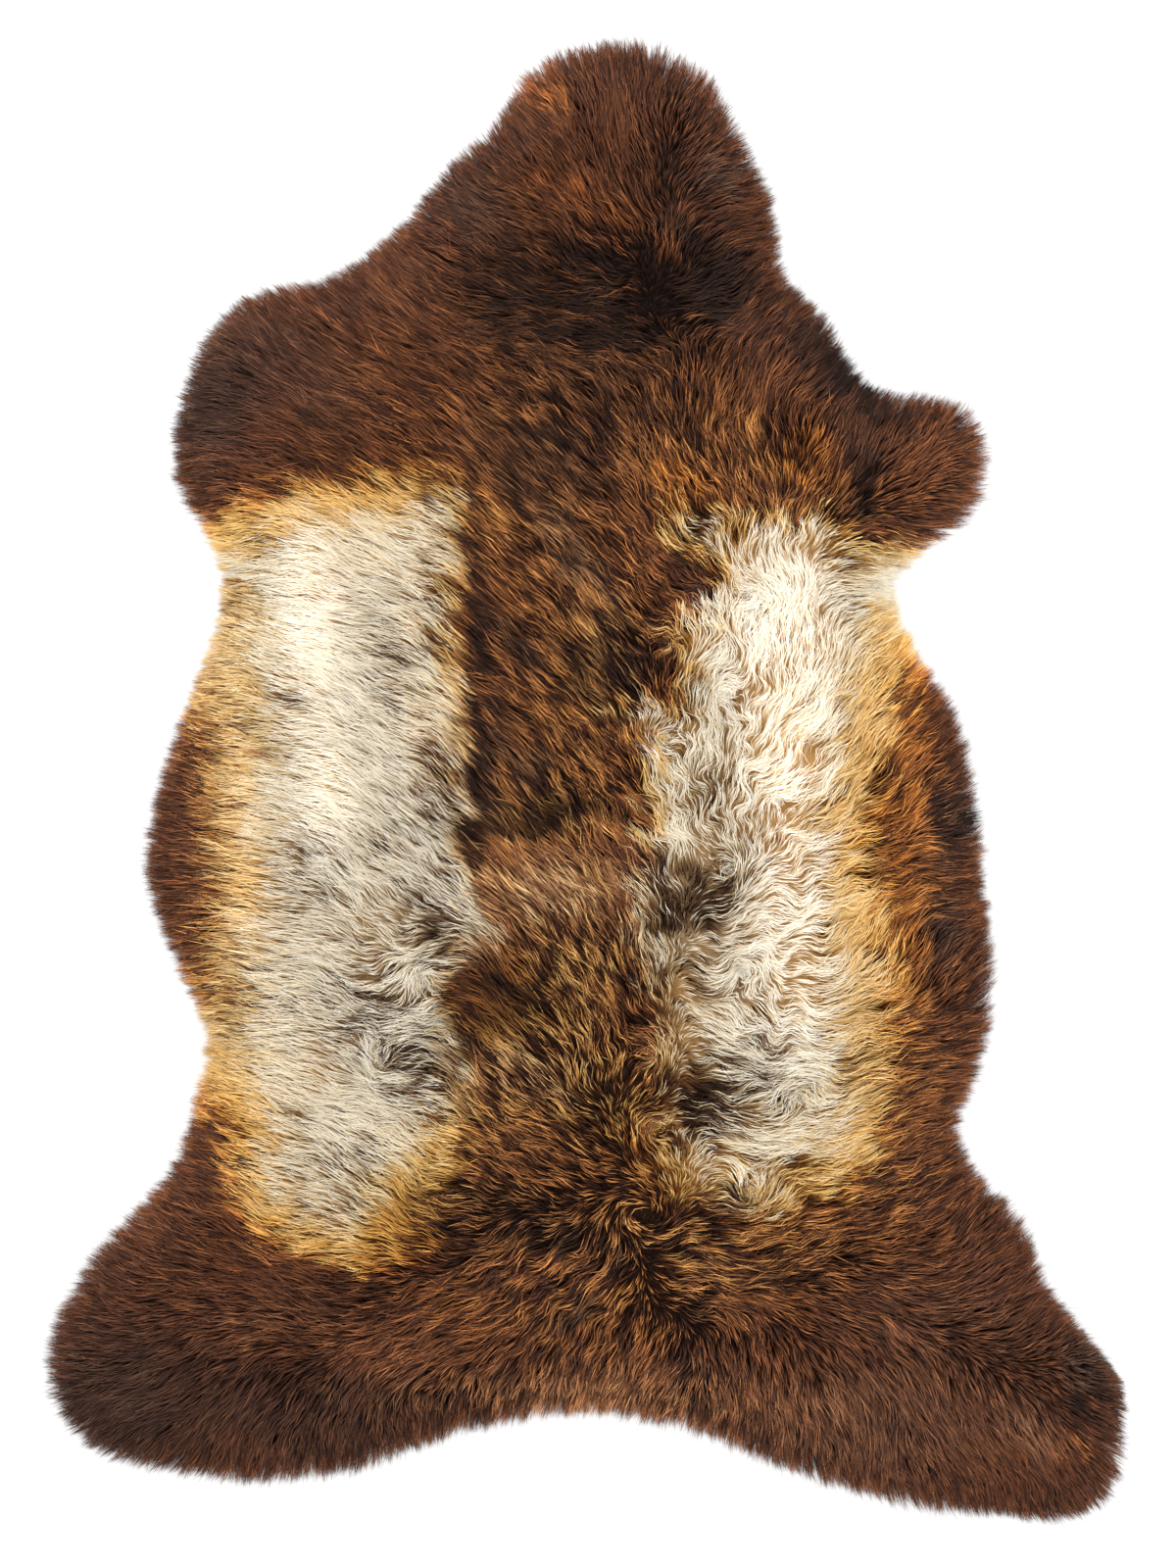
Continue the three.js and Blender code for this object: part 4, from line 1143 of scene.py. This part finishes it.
def walk(strands, locks, chosen, segments, lay):
    """The paths of the chosen strands over the floor plan, from the root to the tip."""
    own = strands["lock"][chosen]
    root = strands["root"][chosen]
    run, turn = strands["run"][chosen], strands["turn"][chosen]
    curl = locks["curl"][own] + strands["twist"][chosen]
    gather = (locks["centre"][own] - root) * strands["clump"][chosen][:, None]
    steps = np.linspace(0, 1, segments + 1)
    place = root.copy()
    path = [root.copy()]
    for before, after in zip(steps[:-1], steps[1:]):
        stride = run[:, None] * (after ** STRIDE_POWER - before ** STRIDE_POWER)
        own_turn = turn + curl * ((before + after) / 2) ** 2
        halfway = place + 0.5 * stride * way_at(place, lay, own_turn)
        place = place + stride * way_at(halfway, lay, own_turn)
        path.append(place + gather * after ** GATHER_POWER)
    return np.stack(path, axis=1)


def grow(strands, locks, chosen, segments, lay, height):
    """Corner points of the chosen strands as flat tapered ribbons: left and right edges, then the tip."""
    steps = np.linspace(0, 1, segments + 1)
    plan = walk(strands, locks, chosen, segments, lay)
    gather = locks["centre"][strands["lock"][chosen]] - strands["root"][chosen]
    crown = (gather ** 2).sum(axis=1)[:, None] * LOCK_CROWN
    top = height.at(plan)[..., 0] * strands["level"][chosen][:, None] - crown
    top = top - TIP_DROOP * steps ** DROOP_POWER
    z = ROOT_HEIGHT + (top - ROOT_HEIGHT) * (1 - (1 - steps) ** RISE_POWER)
    z = np.maximum(z, LOWEST_STRAND + LOWEST_SPREAD * strands["chance"][chosen][:, None])
    line = np.concatenate([plan, z[..., None]], axis=2)

    tangent = np.gradient(line, axis=1)
    tangent /= np.linalg.norm(tangent, axis=2)[..., None] + TINY
    side = np.stack([-tangent[..., 1], tangent[..., 0], np.zeros_like(z)], axis=2)
    side /= np.linalg.norm(side, axis=2)[..., None] + TINY
    lifted = np.cross(tangent, side)
    roll = strands["roll"][chosen][:, None, None]
    edge = side * np.cos(roll) + lifted * np.sin(roll)
    half = (strands["width"][chosen][:, None] * (1 - TAPER * steps ** 2) / 2)[..., None]
    left, right = line + edge * half, line - edge * half
    corners = np.concatenate([
        np.stack([left[:, :-1], right[:, :-1]], axis=2).reshape(len(chosen), -1, 3),
        line[:, -1:],
    ], axis=1)
    return corners, line


def ribbon_faces(count, segments, first):
    """Corner numbers of all ribbons: the quads below and the triangle at the tip, as one run of loops."""
    corners = 2 * segments + 1
    quads = [(2 * s, 2 * s + 1, 2 * s + 3, 2 * s + 2) for s in range(segments - 1)]
    tip = [corners - 3, corners - 2, corners - 1]
    pattern = np.array([corner for quad in quads for corner in quad] + tip)
    loops = (first + np.arange(count)[:, None] * corners + pattern).ravel()
    sizes = np.tile([4] * (segments - 1) + [3], count)
    return loops, sizes


def along_strand(segments):
    """How far along its strand each corner of a ribbon is: two at each step and one at the tip."""
    return np.append(np.repeat(np.linspace(0, 1, segments + 1)[:-1], 2), 1)


def strand_map(count, segments, cells, first):
    """Places of the ribbons' corners on the piece's own map: one small cell for each strand."""
    number = first + np.arange(count)
    column, row = number % cells[0], number // cells[0]
    across = np.append(np.tile(MAP_SIDES, segments), MAP_TIP)
    along = along_strand(segments) * MAP_RUN + MAP_ROOT
    u = (column[:, None] + across) / cells[0]
    v = (row[:, None] + along) / cells[1]
    return np.stack([u, v], axis=2)


def ribbon_mesh(name, corners, loops, sizes, places_on_map, marks):
    """One mesh from corner points in mm, the corner numbers and sizes of its faces, its map and marks."""
    mesh = bpy.data.meshes.new(name)
    mesh.vertices.add(len(corners))
    mesh.vertices.foreach_set("co", (corners * MM).astype(np.float32).ravel())
    mesh.loops.add(len(loops))
    mesh.loops.foreach_set("vertex_index", loops.astype(np.int32))
    mesh.polygons.add(len(sizes))
    mesh.polygons.foreach_set("loop_start", np.concatenate([[0], np.cumsum(sizes)[:-1]]).astype(np.int32))
    mesh.polygons.foreach_set("use_smooth", np.ones(len(sizes), bool))
    mesh.update(calc_edges=True)
    own_map = mesh.uv_layers.new(name="OFBake")
    own_map.data.foreach_set("uv", places_on_map[loops].astype(np.float32).ravel())
    set_marks(mesh, *marks)
    return mesh


def make_wool(name, strands, locks, members, lay, height, material):
    """One piece of the fleece: its strands as one joined mesh, with their marks as attributes."""
    bend = locks["bend"][strands["lock"][members]] * np.where(strands["rim"][members], RIM_SWAY, 1)
    x, y = strands["root"][members].T
    order = np.lexsort((x, np.round(y / ROW_OF_STRANDS)))
    columns = math.ceil(math.sqrt(len(members) * CELL_HEIGHT))
    cells = (columns, math.ceil(len(members) / columns))
    parts, loops, sizes, maps, marks = [], [], [], [], []
    first_corner = first_strand = 0
    for segments, least, most in SEGMENTS:
        chosen = members[order][((bend >= least) & (bend < most))[order]]
        if not len(chosen):
            continue
        corners, line = grow(strands, locks, chosen, segments, lay, height)
        own = strands["lock"][chosen]
        anchor = (line[:, -2, :2] + line[:, -1, :2]) / 2 + locks["shift"][own]
        pale, gold, dark_and_shade = marks_at(anchor, strands["chance"][chosen], locks["ripple"][own],
                                    strands["fleck"][chosen], strands["tuft"][chosen])
        pale, gold, dark_and_shade, chance = [
            np.repeat(numbers, corners.shape[1])
            for numbers in (pale, gold, dark_and_shade, strands["chance"][chosen])]
        marks.append(np.stack([pale, gold, dark_and_shade, np.tile(along_strand(segments), len(chosen)), chance]))
        ribbon_loops, ribbon_sizes = ribbon_faces(len(chosen), segments, first_corner)
        loops.append(ribbon_loops)
        sizes.append(ribbon_sizes)
        maps.append(strand_map(len(chosen), segments, cells, first_strand).reshape(-1, 2))
        parts.append(corners.reshape(-1, 3))
        first_corner += corners.shape[0] * corners.shape[1]
        first_strand += len(chosen)
    joined = [np.concatenate(rows) for rows in (parts, loops, sizes, maps)]
    mesh = ribbon_mesh(name, *joined, np.concatenate(marks, axis=1))
    mesh.materials.append(material)
    piece = bpy.data.objects.new(name, mesh)
    bpy.context.scene.collection.objects.link(piece)
    return piece


# Floor, lights and camera

def make_floor():
    deselect_all()
    bpy.ops.mesh.primitive_plane_add(size=FLOOR_SIZE, location=(0, 0, -FLOOR_GAP))
    floor = bpy.context.object
    floor.name = "floor"
    material, _, surface = new_material("pale floor")
    set_inputs(surface, {"Base Color": FLOOR_COLOUR, "Roughness": 0.9, "Specular IOR Level": 0.1})
    floor.data.materials.append(material)


def add_light(name, place, size, power):
    """An area light that points at the middle of the rug."""
    bpy.ops.object.light_add(type="AREA", location=place)
    light = bpy.context.object
    light.name = name
    light.data.size = size
    light.data.energy = power
    light.rotation_euler = (-Vector(place)).to_track_quat("-Z", "Y").to_euler()


def make_studio():
    """Soft light from above, stronger from the neck's left, on a white surround."""
    for light in LIGHTS:
        add_light(*light)
    world = bpy.data.worlds.new("studio")
    world.use_nodes = True
    set_inputs(world.node_tree.nodes["Background"], {"Color": WHITE, "Strength": SURROUND})
    bpy.context.scene.world = world
    bpy.context.scene.view_settings.view_transform = "Standard"


def make_camera():
    distance = VIEW_HEIGHT * LENS / SENSOR
    bpy.ops.object.camera_add(location=(*VIEW_CENTRE, distance), rotation=(0, 0, 0))
    camera = bpy.context.object
    camera.data.lens = LENS
    camera.data.sensor_width = SENSOR
    camera.data.sensor_fit = "AUTO"
    bpy.context.scene.camera = camera


def main():
    random = np.random.default_rng(SEED)
    make_camera()
    make_floor()
    make_studio()
    outline = hide_outline()
    group = wool_colour_group()

    pelt = make_pelt()
    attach(pelt, "root")
    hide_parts("hide")

    underwool = make_underwool(outline, group)
    wool = [underwool]
    rim = Chart(rim_of(outline))
    height = Chart(height_of("fleece"))
    lay = Chart(lay_of(rim, random))
    crimp_wool(lay, random)
    locks = make_locks(rim, lay, random)
    strands = make_strands(rim, lay, locks, random)
    material = wool_material("combed wool", group)[0]
    x, y = strands["root"].T
    for name, left, right, lower, upper in PIECES:
        members = np.flatnonzero((x >= left) & (x < right) & (y >= lower) & (y < upper))
        wool.append(make_wool(name, strands, locks, members, lay, height, material))
    for piece in wool:
        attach(piece, "root")
        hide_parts("fleece")


main()
deselect_all()
